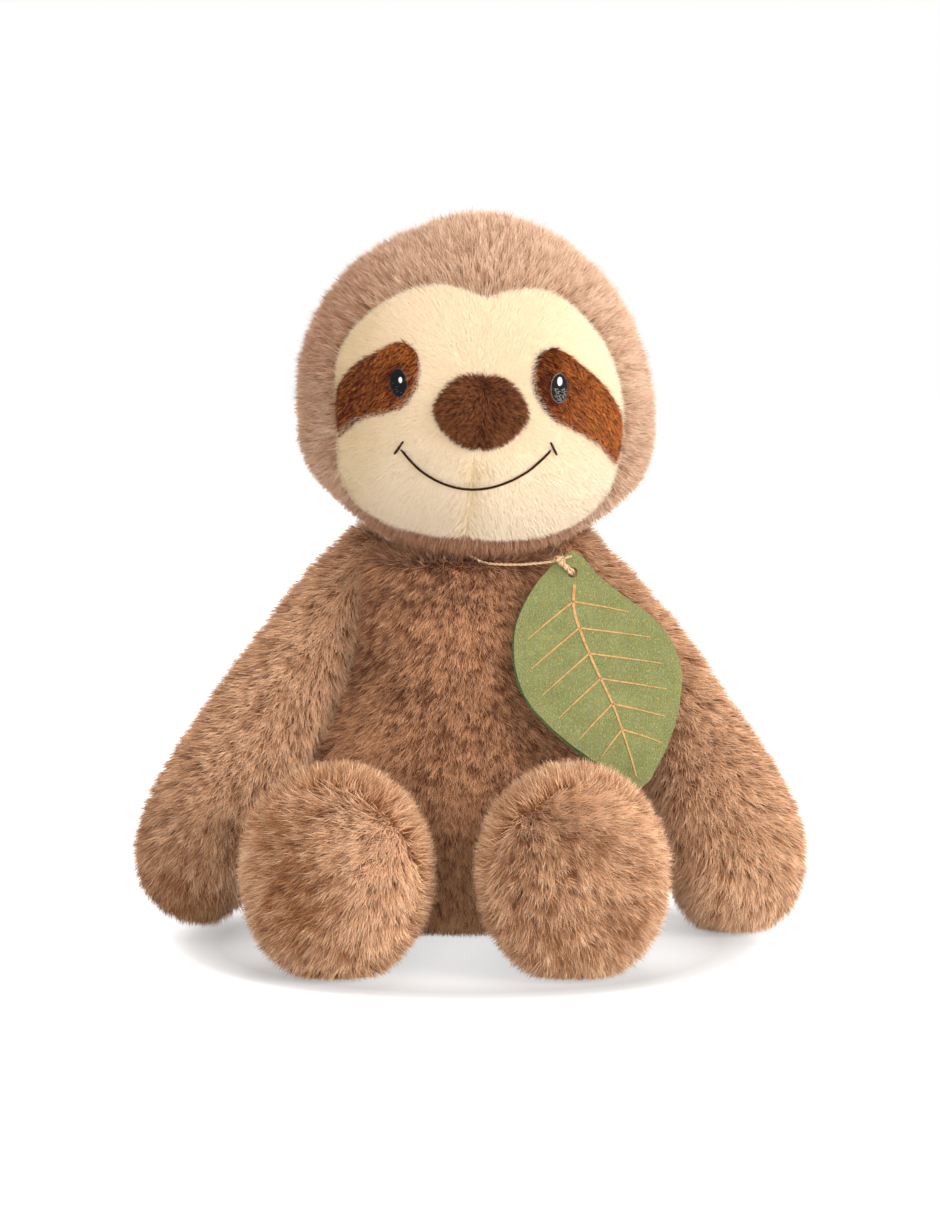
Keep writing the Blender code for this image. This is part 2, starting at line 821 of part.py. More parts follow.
def string_points():
    """From under the head, over the dome's edge and across to the knot."""
    lift = TOUCH_GAP + TWINE_DIAMETER / 2
    start = dome_place(TWINE_START_ANGLE, TWINE_START_TURN, lift)
    rim = dome_place(TWINE_EXIT_ANGLE, TWINE_EXIT_TURN, lift)
    knot = knot_place()
    toward = (knot - rim).normalized()
    end = knot - toward * (KNOT_RADIUS + TOUCH_GAP)
    middle = (rim + end) / 2 - Vector((0, 0, TWINE_SAG))
    hidden = dome_place(
        (TWINE_START_ANGLE + TWINE_EXIT_ANGLE) / 2,
        (TWINE_START_TURN + TWINE_EXIT_TURN) / 2,
        lift,
    )
    return [Vector(point) for point in smooth_points([start, hidden, rim, middle, end], ROUTE_STEPS)]


def twine(name, points, material, parent, closed=False):
    """Round twine along points: a curve with a bevel, read as a solid."""
    data = bpy.data.curves.new(name, "CURVE")
    data.dimensions = "3D"
    data.bevel_depth = TWINE_DIAMETER / 2
    data.bevel_resolution = TWINE_BEVEL_STEPS
    data.use_fill_caps = not closed
    spline = data.splines.new("POLY")
    spline.points.add(len(points) - 1)
    for point, place in zip(spline.points, points):
        point.co = (*place, 1)
    spline.use_cyclic_u = closed
    data.materials.append(material)
    item = bpy.data.objects.new(name, data)
    bpy.context.scene.collection.objects.link(item)
    item.parent = parent
    item.matrix_parent_inverse = parent.matrix_world.inverted()
    return item


def build():
    clear_scene()
    fur_head = make_material("taupe_plush", (0.49, 0.32, 0.24), 0.9)
    fur_body = make_material("brown_plush", (0.33, 0.19, 0.12), 0.9)
    fur_limb = make_material("tan_plush", (0.40, 0.24, 0.14), 0.9)
    cream = make_material("cream_plush", (0.89, 0.77, 0.55), 0.85)
    rust = make_material("rust_velvet", (0.17, 0.06, 0.02), 0.8)
    dark = make_material("dark_plush", (0.07, 0.03, 0.02), 0.85)
    thread = make_material("embroidery_thread", (0.03, 0.02, 0.02), 0.6)
    white = make_material("white_thread", (0.9, 0.9, 0.9), 0.6)
    fibre = make_material("polyester_fibre", (0.9, 0.9, 0.88), 1.0)
    seam = make_material("seam_cloth", (0.30, 0.20, 0.14), 0.9)
    card = make_material("green_card", (0.21, 0.30, 0.10), 0.7)
    card_back = make_material("dark_card", (0.10, 0.12, 0.04), 0.7)
    jute = make_material("kraft_twine", (0.55, 0.38, 0.21), 0.9)

    torso = make_empty("torso_frame", (0, 0, 0))
    floor = floor_cutter()
    pivot = neck_pivot()
    neck = make_empty("neck_turn_axis", pivot, torso)
    nod = make_empty("head_nod_axis", pivot, neck)

    # Torso skin and stuffing
    skin = finish_mesh(torso_form(0, TORSO_SIDES), "torso_skin", fur_body, torso)
    lining = as_cutter(
        finish_mesh(torso_form(PLUSH_WALL, WIDE_LINING_SIDES), "cutter_torso_lining")
    )
    filling = finish_mesh(
        torso_form(PLUSH_WALL + TOUCH_GAP, WIDE_LINING_SIDES), "torso_stuffing", fibre, torso
    )
    port = round_cutter(
        "cutter_neck_port", pivot, Vector((0, 0, 1)), NECK_PORT_RADIUS, NECK_RADIUS * 2
    )
    boolean(skin, lining)
    boolean(skin, floor)
    boolean(skin, port)

    # Neck seam, head skin, face panel and head stuffing
    seam_ring(
        "neck_seam",
        pivot,
        Vector((0, 0, 1)),
        NECK_RADIUS,
        NECK_SEAM_FROM,
        NECK_SEAM_TO,
        seam,
        neck,
    )
    dish = sphere_cutter("cutter_neck_dish", pivot, socket_radius(NECK_RADIUS) + TOUCH_GAP)
    face_hole = face_prism(
        "cutter_face_hole", mirrored_outline(FACE_OUTLINE_SHARES), TOUCH_GAP
    )
    face_shape = face_prism("cutter_face_shape", mirrored_outline(FACE_OUTLINE_SHARES), 0)
    head_lining = as_cutter(head_piece("cutter_head_lining", -PLUSH_WALL, lining=True))
    head_skin = head_piece("head_skin", 0, fur_head, nod)
    boolean(head_skin, head_lining)
    boolean(head_skin, face_hole)
    boolean(head_skin, dish)
    face = head_piece("face_panel", 0, cream, nod)
    boolean(face, head_lining)
    boolean(face, face_shape, "INTERSECT")
    head_filling = head_piece(
        "head_stuffing", -PLUSH_WALL - TOUCH_GAP, fibre, nod, lining=True
    )
    boolean(head_filling, dish)

    # Pieces sewn on the face
    for word, side in SIDES:
        out = LEFT_EYE_OUT_SHARE if side < 0 else 0
        patch = [(across + out, upward) for across, upward in PATCH_OUTLINE_SHARES]
        outline = side_outline(patch, side)
        face_layer("eye_patch_" + word, outline, TOUCH_GAP, PATCH_THICKNESS, rust, nod, 2)
        place = (side * (EYE_PLACE_SHARES[0] + out), EYE_PLACE_SHARES[1])
        lift = TOUCH_GAP * 2 + PATCH_THICKNESS
        oval = oval_outline(place, EYE_WIDTH / 2, EYE_HEIGHT / 2)
        face_layer("eye_" + word, oval, lift, EYE_THICKNESS, thread, nod, 1)
        lift += EYE_THICKNESS + TOUCH_GAP
        raised = (
            place[0] + EYE_WIDTH * HIGHLIGHT_OUT_SHARE / FACE_HALF_WIDTH,
            place[1] + EYE_HEIGHT * HIGHLIGHT_RISE_SHARE / FACE_HALF_HEIGHT,
        )
        dot = oval_outline(raised, HIGHLIGHT_SIZE / 2, HIGHLIGHT_SIZE / 2, HIGHLIGHT_SIDES)
        face_layer("eye_highlight_" + word, dot, lift, HIGHLIGHT_THICKNESS, white, nod, 1)
    nose_outline = mirrored_outline(NOSE_OUTLINE_SHARES)
    face_layer("nose", nose_outline, TOUCH_GAP, NOSE_THICKNESS, dark, nod, 2)
    smile = [(-across, upward) for across, upward in reversed(MOUTH_LINE_SHARES[1:])]
    smile = smooth_points(smile + list(MOUTH_LINE_SHARES), CURVE_STEPS)
    smile = [(across + MOUTH_OFFSET_SHARE, upward) for across, upward in smile]
    face_layer(
        "mouth",
        band_outline(smile, MOUTH_LINE_WIDTH),
        TOUCH_GAP,
        MOUTH_THICKNESS,
        thread,
        nod,
        1,
    )
    for word, side in SIDES:
        corner = side_outline(band_outline(MOUTH_CORNER_SHARES, MOUTH_LINE_WIDTH), side)
        corner = [(across + MOUTH_OFFSET_SHARE, upward) for across, upward in corner]
        face_layer(
            "mouth_corner_" + word, corner, TOUCH_GAP, MOUTH_THICKNESS, thread, nod, 1
        )

    # Arms, each on a seam ring that swings while the arm lifts
    for word, side in SIDES:
        pivot = shoulder_pivot(side)
        route = arm_route(side)
        start = (route[1] - route[0]).normalized()
        swing = make_empty("arm_" + word + "_swing_axis", pivot, torso)
        lift = make_empty("arm_" + word + "_lift_axis", pivot, swing)
        outward = Vector((side, 0, 0))
        seam_ring(
            "shoulder_seam_" + word,
            pivot,
            outward,
            SHOULDER_BALL,
            LIMB_SEAM_FROM,
            LIMB_SEAM_TO,
            seam,
            swing,
        )
        socket = sphere_cutter(
            "cutter_shoulder_" + word, pivot, socket_radius(SHOULDER_BALL) + TOUCH_GAP
        )
        boolean(skin, socket)
        boolean(filling, socket)
        arm = finish_mesh(
            arm_form(side, 0, LIMB_SIDES), "arm_" + word + "_skin", fur_limb, lift
        )
        arm_lining = as_cutter(
            finish_mesh(
                arm_form(side, PLUSH_WALL, LINING_SIDES), "cutter_arm_lining_" + word
            )
        )
        port = round_cutter(
            "cutter_arm_port_" + word,
            pivot,
            -start,
            ARM_PORT_RADIUS,
            SHOULDER_BALL * 2,
        )
        boolean(arm, arm_lining)
        boolean(arm, port)
        finish_mesh(
            arm_form(side, PLUSH_WALL + TOUCH_GAP, LINING_SIDES),
            "arm_" + word + "_stuffing",
            fibre,
            lift,
        )

    # Legs, each with a sole sewn into its end
    for word, side in SIDES:
        pivot = hip_pivot(side)
        direction = leg_direction(side)
        spread = make_empty("leg_" + word + "_spread_axis", pivot, torso)
        lift = make_empty("leg_" + word + "_lift_axis", pivot, spread)
        seam_ring(
            "hip_seam_" + word,
            pivot,
            direction,
            HIP_BALL,
            LIMB_SEAM_FROM,
            LIMB_SEAM_TO,
            seam,
            spread,
        )
        socket = sphere_cutter(
            "cutter_hip_" + word, pivot, socket_radius(HIP_BALL) + TOUCH_GAP
        )
        boolean(skin, socket)
        boolean(filling, socket)
        for cutter in leg_sweep_cutters(side, socket_radius(HIP_BALL) - HIP_BALL):
            boolean(skin, cutter)
            boolean(filling, cutter)
        leg = finish_mesh(
            leg_form(side, 0, LIMB_SIDES), "leg_" + word + "_skin", fur_limb, lift
        )
        leg_lining = as_cutter(
            finish_mesh(
                leg_form(side, PLUSH_WALL, LINING_SIDES), "cutter_leg_lining_" + word
            )
        )
        port = round_cutter(
            "cutter_leg_port_" + word, pivot, -direction, LEG_PORT_RADIUS, HIP_BALL * 2
        )
        toe = leg_route(side)[-1]
        sole_radius = FOOT_RADIUS * SOLE_RADIUS_SHARE
        hole = round_cutter(
            "cutter_sole_hole_" + word,
            toe - direction * SOLE_DEPTH,
            direction,
            sole_radius + TOUCH_GAP,
            SOLE_DEPTH + CUT_OVERRUN,
            SOLE_SIDES,
        )
        shape = round_cutter(
            "cutter_sole_" + word,
            toe - direction * SOLE_DEPTH,
            direction,
            sole_radius,
            SOLE_DEPTH + CUT_OVERRUN,
            SOLE_SIDES,
        )
        boolean(leg, leg_lining)
        boolean(leg, port)
        boolean(leg, hole)
        boolean(leg, floor)
        sole = finish_mesh(
            leg_form(side, 0, LIMB_SIDES), "sole_" + word, fur_limb, lift
        )
        boolean(sole, leg_lining)
        boolean(sole, shape, "INTERSECT")
        finish_mesh(
            leg_form(side, PLUSH_WALL + TOUCH_GAP, LINING_SIDES),
            "leg_" + word + "_stuffing",
            fibre,
            lift,
        )

    # Hang tag on its twine
    knot = knot_place()
    hang = make_empty("tag_lift_axis", knot, torso)
    leaf("tag_front", 0, 0, card, hang)
    leaf("tag_back", BACK_LEAF_TURN, TAG_THICKNESS + TOUCH_GAP, card_back, hang)
    twine("tag_link", link_points(), jute, hang, closed=True)
    ball = bmesh.new()
    bmesh.ops.create_uvsphere(
        ball, u_segments=KNOT_SIDES, v_segments=KNOT_RINGS, radius=KNOT_RADIUS
    )
    bmesh.ops.translate(ball, verts=ball.verts, vec=knot)
    finish_mesh(ball, "string_knot", jute, hang)
    twine("tag_string", string_points(), jute, torso)


def centre_on_origin():
    """Moves everything together, so that the origin is under the middle of the toy."""
    bpy.context.view_layer.update()
    shown = bpy.context.evaluated_depsgraph_get()
    places = []
    for item in bpy.data.objects:
        if item.type == "MESH" and not item.hide_render:
            corners = item.evaluated_get(shown).bound_box
            places += [item.matrix_world @ Vector(corner) for corner in corners]
    low = Vector([min(place[axis] for place in places) for axis in range(3)])
    high = Vector([max(place[axis] for place in places) for axis in range(3)])
    shift = -(low + high) / 2
    shift.z = 0
    for item in bpy.data.objects:
        if item.parent is None:
            item.matrix_world = Matrix.Translation(shift) @ item.matrix_world


build()
centre_on_origin()
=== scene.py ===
# A seated plush sloth: cloth skins grown with pile, a sewn face, embroidered eyes and
# mouth, and a leaf-shaped card tag tied round the neck with kraft twine.
from math import cos, exp, pi, radians, sin, sqrt

import bpy
import numpy as np
from mathutils import Matrix, Vector


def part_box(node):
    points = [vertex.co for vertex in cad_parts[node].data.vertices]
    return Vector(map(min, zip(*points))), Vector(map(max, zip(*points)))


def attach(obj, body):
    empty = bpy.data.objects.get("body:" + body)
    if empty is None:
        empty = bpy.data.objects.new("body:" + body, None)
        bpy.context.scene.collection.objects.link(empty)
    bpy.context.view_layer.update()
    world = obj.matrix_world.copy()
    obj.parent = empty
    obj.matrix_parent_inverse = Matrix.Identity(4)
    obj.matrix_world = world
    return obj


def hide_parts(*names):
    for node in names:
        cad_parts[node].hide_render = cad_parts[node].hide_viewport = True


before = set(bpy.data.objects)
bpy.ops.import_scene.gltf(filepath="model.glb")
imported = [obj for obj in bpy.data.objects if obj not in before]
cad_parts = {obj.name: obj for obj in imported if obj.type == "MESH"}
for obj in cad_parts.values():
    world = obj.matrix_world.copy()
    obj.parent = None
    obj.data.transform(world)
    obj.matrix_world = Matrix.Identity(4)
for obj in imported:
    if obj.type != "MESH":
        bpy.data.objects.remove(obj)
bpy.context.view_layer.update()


# Studio: a long lens 1.6 m away and a little above, a pale floor, a white surround and
# broad soft lamps. Floor and surround are white to the eye and in reflections only, so
# that the light on the toy stays plain and the floor keeps its shadow. The floor's glow
# dips in an oval round the toy, a painted shadow beside its paws and feet.
CAMERA_DISTANCE = 1.6
CAMERA_RISE = radians(7.2)
CAMERA_AIM_HEIGHT = 0.1308
CAMERA_LENS = 114.9
TORSO_SIDE_OFFSET = -0.004
FLOOR_HALF_SIZE = 3.0
FLOOR_WHITE = 0.42
PAINTED_SHADOW_FORWARD = 0.045
PAINTED_SHADOW_OVAL = (1.0, 1.10, 1.0)
# How white the floor looks by itself, by distance from the middle of the oval: less white near the toy, a painted
# shadow round it
FLOOR_GLOW_AND_PAINTED_SHADOW = ((0.0, 0.70), (0.08, 0.58), (0.102, 0.35), (0.112, 0.47), (0.122, 0.84), (0.132, 1.0))
AMBIENT = 0.47
AMBIENT_TINT = "#FFEEDC"
LAMP_AIM_HEIGHT = 0.12
# Each lamp's name, place from the toy, width and power
LAMPS = (
    ("key_lamp", (1.35, -0.90, 0.62), 1.1, 29.5),
    ("front_lamp", (-0.15, -1.55, 0.28), 1.0, 16.5),
    ("top_lamp", (0.10, 0.30, 1.6), 1.2, 15.0),
    ("back_lamp", (-0.70, 1.50, 0.80), 1.2, 11.0),
)
# Kinds of node
MATHS = "ShaderNodeMath"
VECTOR_MATHS = "ShaderNodeVectorMath"

torso_low, torso_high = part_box("torso_skin")
TOY = Vector(((torso_low.x + torso_high.x) / 2 - TORSO_SIDE_OFFSET, (torso_low.y + torso_high.y) / 2, 0))


def put(name, data):
    """Puts a new object with its data into the scene."""
    thing = bpy.data.objects.new(name, data)
    bpy.context.scene.collection.objects.link(thing)
    return thing


def make_mesh(name, corners, faces, material=None, smooth=True):
    data = bpy.data.meshes.new(name)
    data.from_pydata([tuple(corner) for corner in corners], [], faces)
    if material:
        data.materials.append(material)
    data.polygons.foreach_set("use_smooth", [smooth] * len(data.polygons))
    data.update()
    return data


def give(node, inputs):
    """Sets a node's inputs: each is a value, or a socket that is linked to it."""
    for key, value in dict(inputs).items():
        if isinstance(value, bpy.types.NodeSocket):
            node.id_data.links.new(value, node.inputs[key])
        else:
            node.inputs[key].default_value = value


def add_node(tree, kind, inputs=(), **settings):
    """Adds one node with its settings and its inputs."""
    node = tree.nodes.new(kind)
    for key, value in settings.items():
        setattr(node, key, value)
    give(node, inputs)
    return node


def linear(code):
    """An sRGB hex colour as linear red, green, blue and alpha."""
    parts = [int(code[i : i + 2], 16) / 255 for i in (1, 3, 5)]
    return tuple(p / 12.92 if p <= 0.04045 else ((p + 0.055) / 1.055) ** 2.4 for p in parts) + (1.0,)


def seen_rays(tree):
    """One for rays that the eye sees, straight or reflected, and nought for the light on the toy."""
    path = add_node(tree, "ShaderNodeLightPath").outputs
    seen = path["Is Camera Ray"]
    for other in ("Is Glossy Ray", "Is Transmission Ray"):
        seen = add_node(tree, MATHS, {0: seen, 1: path[other]}, operation="MAXIMUM").outputs[0]
    return seen


scene = bpy.context.scene
scene.view_settings.view_transform = "Standard"
back = Vector((0, -cos(CAMERA_RISE), sin(CAMERA_RISE)))
camera = put("camera", bpy.data.cameras.new("camera"))
camera.data.lens = CAMERA_LENS
camera.location = TOY + Vector((0, 0, CAMERA_AIM_HEIGHT)) + back * CAMERA_DISTANCE
camera.rotation_euler = (-back).to_track_quat("-Z", "Y").to_euler()
scene.camera = camera
for name, place, width, power in LAMPS:
    lamp = put(name, bpy.data.lights.new(name, "AREA"))
    lamp.data.shape = "DISK"
    lamp.data.size = width
    lamp.data.energy = power
    lamp.location = TOY + Vector(place)
    toward = TOY + Vector((0, 0, LAMP_AIM_HEIGHT)) - lamp.location
    lamp.rotation_euler = toward.to_track_quat("-Z", "Y").to_euler()

# Matt studio paint; its glow is dimmed round the toy as a painted shadow
paint = bpy.data.materials.new("studio_floor_paint")
paint.use_nodes = True
tree = paint.node_tree
place = add_node(tree, "ShaderNodeTexCoord").outputs["Object"]
middle = (TOY.x, TOY.y - PAINTED_SHADOW_FORWARD, 0.0)
away = add_node(tree, VECTOR_MATHS, {0: place, 1: middle}, operation="SUBTRACT").outputs[0]
away = add_node(tree, VECTOR_MATHS, {0: away, 1: PAINTED_SHADOW_OVAL}, operation="MULTIPLY").outputs[0]
away = add_node(tree, VECTOR_MATHS, {0: away}, operation="LENGTH").outputs["Value"]
ramp = add_node(tree, "ShaderNodeValToRGB", {"Fac": away})
for radius, _ in FLOOR_GLOW_AND_PAINTED_SHADOW[1:-1]:
    ramp.color_ramp.elements.new(radius)
for stop, (radius, strength) in zip(ramp.color_ramp.elements, FLOOR_GLOW_AND_PAINTED_SHADOW):
    stop.position = radius
    stop.color = (strength, strength, strength, 1)
glow_and_painted_shadow = {0: seen_rays(tree), 1: ramp.outputs[0]}
give(tree.nodes["Principled BSDF"], {
    "Base Color": (FLOOR_WHITE, FLOOR_WHITE, FLOOR_WHITE, 1), "Roughness": 0.9, "Specular IOR Level": 0.0,
    "Emission Color": (1, 1, 1, 1),
    "Emission Strength": add_node(tree, MATHS, glow_and_painted_shadow, operation="MULTIPLY").outputs[0],
})
floor_corners = [(x * FLOOR_HALF_SIZE, y * FLOOR_HALF_SIZE, 0) for x,
                 y in ((-1, -1), (1, -1), (1, 1), (-1, 1))]
put("studio_floor", make_mesh("studio_floor", floor_corners, [(0, 1, 2, 3)], paint, False))

world = bpy.data.worlds.new("studio_surround")
world.use_nodes = True
scene.world = world
tree = world.node_tree
seen = seen_rays(tree)
strength = add_node(tree, "ShaderNodeMapRange", {"Value": seen, "To Min": AMBIENT, "To Max": 1.0})
tint = {0: seen, 6: linear(AMBIENT_TINT), 7: (1, 1, 1, 1)}
give(tree.nodes["Background"], {
    "Color": add_node(tree, "ShaderNodeMix", tint,
                      data_type="RGBA").outputs[2], "Strength": strength.outputs[0]})


# Twine: two strands of kraft paper yarn twisted together, tied round the neck under
# the head and knotted above the tag, with a loop of it through both cards' hole.
TWINE_DIAMETER = 0.0012
TWINE_PITCH = 0.0042
TWINE_SAG = 0.0009
TWINE_FIBRE_WIDTH = 0.00018
NECK_RADIUS = 0.045
NECK_PLACE = TOY + Vector((TORSO_SIDE_OFFSET, -0.010, 0.161 - NECK_RADIUS))
# Degrees down from the top of the neck and round it
TWINE_ON_NECK = ((27, 4), (31.5, 14), (36, 24))
TOUCH_GAP = 0.0003
TAG_LENGTH = 0.100
TAG_THICKNESS = 0.0007
TAG_TILT = radians(15.2)
TAG_LEAN = radians(16)
TAG_STALK = TOY + Vector((TORSO_SIDE_OFFSET + 0.0455, -0.037, 0.1585))
TAG_HOLE = Vector((-0.0027, 0, -0.0086))
KNOT_ON_TAG = Vector((-0.0062, 0, -0.0035))
KNOT_RADIUS = 0.0021
KNOT_TURNS = 2.6
KNOT_END_REACHES = ((0.0042, -0.0022, 0.0022), (0.0036, -0.0012, -0.0046))
LOOP_LENGTH = 0.0076
NOISE = "ShaderNodeTexNoise"

tag_place = Matrix.Translation(TAG_STALK) @ Matrix.Rotation(-TAG_LEAN, 4, "X") @ Matrix.Rotation(-TAG_TILT, 4,
                                                                                                 "Y")


def smooth_line(points, steps, closed=False):
    """Points on a smooth curve through the given ones."""
    rows = np.array([tuple(p) for p in points], float)
    count = len(rows)
    found = []
    for span in range(count if closed else count - 1):
        picks = [(span + k) % count if closed else min(max(span + k, 0), count - 1) for k in (-1, 0, 1, 2)]
        a, b, c, d = rows[picks]
        for step in range(steps):
            t = step / steps
            found.append(0.5 * (2 * b + (c - a) * t + (2 * a - 5 * b + 4 * c - d) * t**2
                                + (3 * b - a - 3 * c + d) * t**3))
    if not closed:
        found.append(rows[-1])
    return np.array(found)


def runs_along(points):
    """How far along a line each of its points is."""
    return np.concatenate([[0], np.cumsum(np.linalg.norm(np.diff(points, axis=0), axis=1))])


def carried_sides(points, closed=False):
    """Two unit directions across a line at each of its points, carried along without twist."""
    ahead = np.gradient(points, axis=0)
    if closed:
        ahead = np.roll(points, -1, axis=0) - np.roll(points, 1, axis=0)
    ahead /= np.linalg.norm(ahead, axis=1)[:, None]
    side = np.cross(ahead[0], (0.13, 0.97, 0.21))
    sides = []
    for direction in ahead:
        side = side - direction * side.dot(direction)
        side /= np.linalg.norm(side)
        sides.append(side.copy())
    sides = np.array(sides)
    return sides, np.cross(ahead, sides)


def ring_faces(rows, around, closed=False):
    """Faces between rings of corners, and round the two points that follow the last ring."""
    faces = []
    for row in range(rows if closed else rows - 1):
        here, there = row * around, (row + 1) % rows * around
        for index in range(around):
            after = (index + 1) % around
            faces.append((here + index, here + after, there + after, there + index))
    last, tip = (rows - 1) * around, rows * around
    for index in range(0 if closed else around):
        after = (index + 1) % around
        faces += [(tip, after, index), (tip + 1, last + index, last + after)]
    return faces


def joined(parts):
    """Several (corners, faces) pairs as one."""
    corners, faces = [], []
    for some_corners, some_faces in parts:
        start = len(corners)
        corners += [tuple(c) for c in some_corners]
        faces += [tuple(start + i for i in face) for face in some_faces]
    return corners, faces


def twine_strands(points, closed=False, around=8):
    """Two strands wound round a line, with rounded ends where it is open."""
    along = runs_along(points)
    turns = 2 * pi * along / TWINE_PITCH
    if closed:
        total = runs_along(np.vstack([points, points[:1]]))[-1]
        turns = 2 * pi * round(total / TWINE_PITCH) * along / total
    first, second = carried_sides(points, closed)
    parts = []
    for phase in (0, pi):
        strand = points + TWINE_DIAMETER * 0.25 * (
            first * np.cos(turns + phase)[:, None] + second * np.sin(turns + phase)[:, None])
        one, other = carried_sides(strand, closed)
        angles = 2 * pi * np.arange(around)[None, :, None] / around
        rings = strand[:, None] + TWINE_DIAMETER * 0.27 * (
            one[:, None] * np.cos(angles) + other[:, None] * np.sin(angles))
        tips = [] if closed else [strand[0] * 1.5 - strand[1] * 0.5, strand[-1] * 1.5 - strand[-2] * 0.5]
        parts.append((list(rings.reshape(-1, 3)) + tips, ring_faces(len(strand), around, closed)))
    return joined(parts)


def grained(name, noise, tones, roughness, specular=0.5, bump=None, over=None):
    """A material in two tones of a noise. Bump gives the strength and depth of bumps from the
    same noise, and over lays more colour on the tones."""
    material = bpy.data.materials.new(name)
    material.use_nodes = True
    tree = material.node_tree
    place = add_node(tree, "ShaderNodeTexCoord").outputs["Object"]
    grain = add_node(tree, NOISE, {"Vector": place, **noise}).outputs["Fac"]
    ramp = add_node(tree, "ShaderNodeValToRGB", {"Fac": grain})
    for stop, (position, code) in zip(ramp.color_ramp.elements, tones):
        stop.position = position
        stop.color = linear(code)
    colour = over(tree, place, ramp.outputs["Color"]) if over else ramp.outputs["Color"]
    shader = tree.nodes["Principled BSDF"]
    give(shader, {"Base Color": colour, "Roughness": roughness, "Specular IOR Level": specular})
    if bump:
        relief = {"Strength": bump[0], "Distance": bump[1], "Height": grain}
        give(shader, {"Normal": add_node(tree, "ShaderNodeBump", relief).outputs[0]})
    return material


def fix(piece, body, slot, *nodes, fill=None):
    """The piece rides on a body and stands for the CAD nodes, which it hides. The slot is not used."""
    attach(piece, body)
    if nodes:
        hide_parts(*nodes)


def dome_place(polar, turn):
    away = Vector((sin(polar) * sin(turn), -sin(polar) * cos(turn), cos(polar)))
    return NECK_PLACE + away * (NECK_RADIUS + TOUCH_GAP + TWINE_DIAMETER / 2)


# Twisted kraft paper yarn: matt and pale brown, with fine fibres and dark grooves
yarn = grained("kraft_yarn", {"Scale": 1 / TWINE_FIBRE_WIDTH / 4, "Detail": 3.0},
               ((0.3, "#BD9468"), (0.65, "#EBCDA6")), 0.85, 0.25, (0.5, TWINE_FIBRE_WIDTH))

knot_lift = TAG_THICKNESS + TWINE_DIAMETER + KNOT_RADIUS + TOUCH_GAP * 2
knot = tag_place @ (KNOT_ON_TAG - Vector((0, knot_lift, 0)))
start, hidden, rim = (dome_place(radians(polar), radians(turn)) for polar, turn in TWINE_ON_NECK)
end = knot - (knot - rim).normalized() * (KNOT_RADIUS + TOUCH_GAP)
middle = (rim + end) / 2 - Vector((0, 0, TWINE_SAG))
line = smooth_line([start, hidden, rim, middle, end], 24)
twine = put("neck_twine", make_mesh("neck_twine", *twine_strands(line), yarn))
fix(twine, "torso", "kraft_twine", "tag_string")

# The knot: turns of the twine pulled tight, with two short ends
axis = (knot - rim).normalized()
across = axis.cross(Vector((0, 0, 1))).normalized()
upward = across.cross(axis)
radius = KNOT_RADIUS - TWINE_DIAMETER * 0.45
coil = [knot + axis * ((t / (2 * pi) - KNOT_TURNS / 2) * TWINE_DIAMETER * 0.62)
        + (across * cos(t) + upward * sin(t)) * radius for t in np.linspace(0, 2 * pi * KNOT_TURNS, 66)]
wraps = [twine_strands(np.array([tuple(spot) for spot in coil]))]
for reach in KNOT_END_REACHES:
    tip = knot + Vector(reach)
    bend = knot.lerp(tip, 0.5) + Vector((0, -0.0008, 0.0006))
    wraps.append(twine_strands(smooth_line([knot, bend, tip], 10)))
tied = put("twine_knot", make_mesh("twine_knot", *joined(wraps), yarn))
fix(tied, "tag", "kraft_twine", "string_knot")

# The loop: two turns of the twine side by side through the hole
along = (KNOT_ON_TAG - TAG_HOLE).normalized()
beside = Vector((-along.z, 0, along.x)) * TWINE_DIAMETER * 0.48
half = TAG_THICKNESS + TOUCH_GAP * 1.5 + TWINE_DIAMETER / 2
loops = []
for way in (-1, 1):
    ring = []
    for centre, first in ((TAG_HOLE + along * half, pi / 2), (TAG_HOLE + along * LOOP_LENGTH, -pi / 2)):
        for step in range(7):
            angle = first + pi * step / 6
            ring.append(tag_place @ (centre + beside * way + along * half * cos(angle)
                                     + Vector((0, half * sin(angle) + TOUCH_GAP / 2, 0))))
    loops.append(twine_strands(smooth_line(ring, 8, True), True))
loop = put("tag_loop", make_mesh("tag_loop", *joined(loops), yarn))
fix(loop, "tag", "kraft_twine", "tag_link")


# Torso: a pear of brown long-pile plush, sewn closed and filled with polyester fibre.
# The pile is combed down from the neck; where it parts, painted shade and the darker roots show.
TORSO_HEIGHT = 0.161
TORSO_WIDTH = 0.126
TORSO_DEPTH = 0.104
TORSO_RING_SHARES = (
    (0.012, 0.66, 0.78), (0.05, 0.83, 0.91), (0.13, 0.93, 0.94), (0.27, 1.015, 1.00), (0.42, 0.965, 0.97),
    (0.58, 0.79, 0.91), (0.73, 0.67, 0.83), (0.84, 0.655, 0.76), (0.932, 0.6200, 0.6300),
)
CLOTH_DEPTH = 0.0045
TORSO_SIDE_FILL = 0.0030
TORSO_SEAT_SWELL = 0.0045
FLOOR_CLEARANCE = 0.0004
# Patches of the torso's pile, cloudy tone with some painted light and shade, darkest in the strip beside the left
# arm: across, up, half width, half height, and how much lighter
TORSO_TONE_AND_SHADE_PATCHES = (
    (-0.036, 0.079, 0.011, 0.015, 0.75), (0.002, 0.055, 0.022, 0.012, 0.30),
    (-0.042, 0.118, 0.008, 0.018, -0.45), (0.0, 0.088, 0.016, 0.008, -0.22), (0.0, 0.125, 0.020, 0.012, 0.18),
)

# Kinds of node
STORE = "GeometryNodeStoreNamedAttribute"
ALIGN = "FunctionNodeAlignRotationToVector"
COMBINE = "ShaderNodeCombineXYZ"

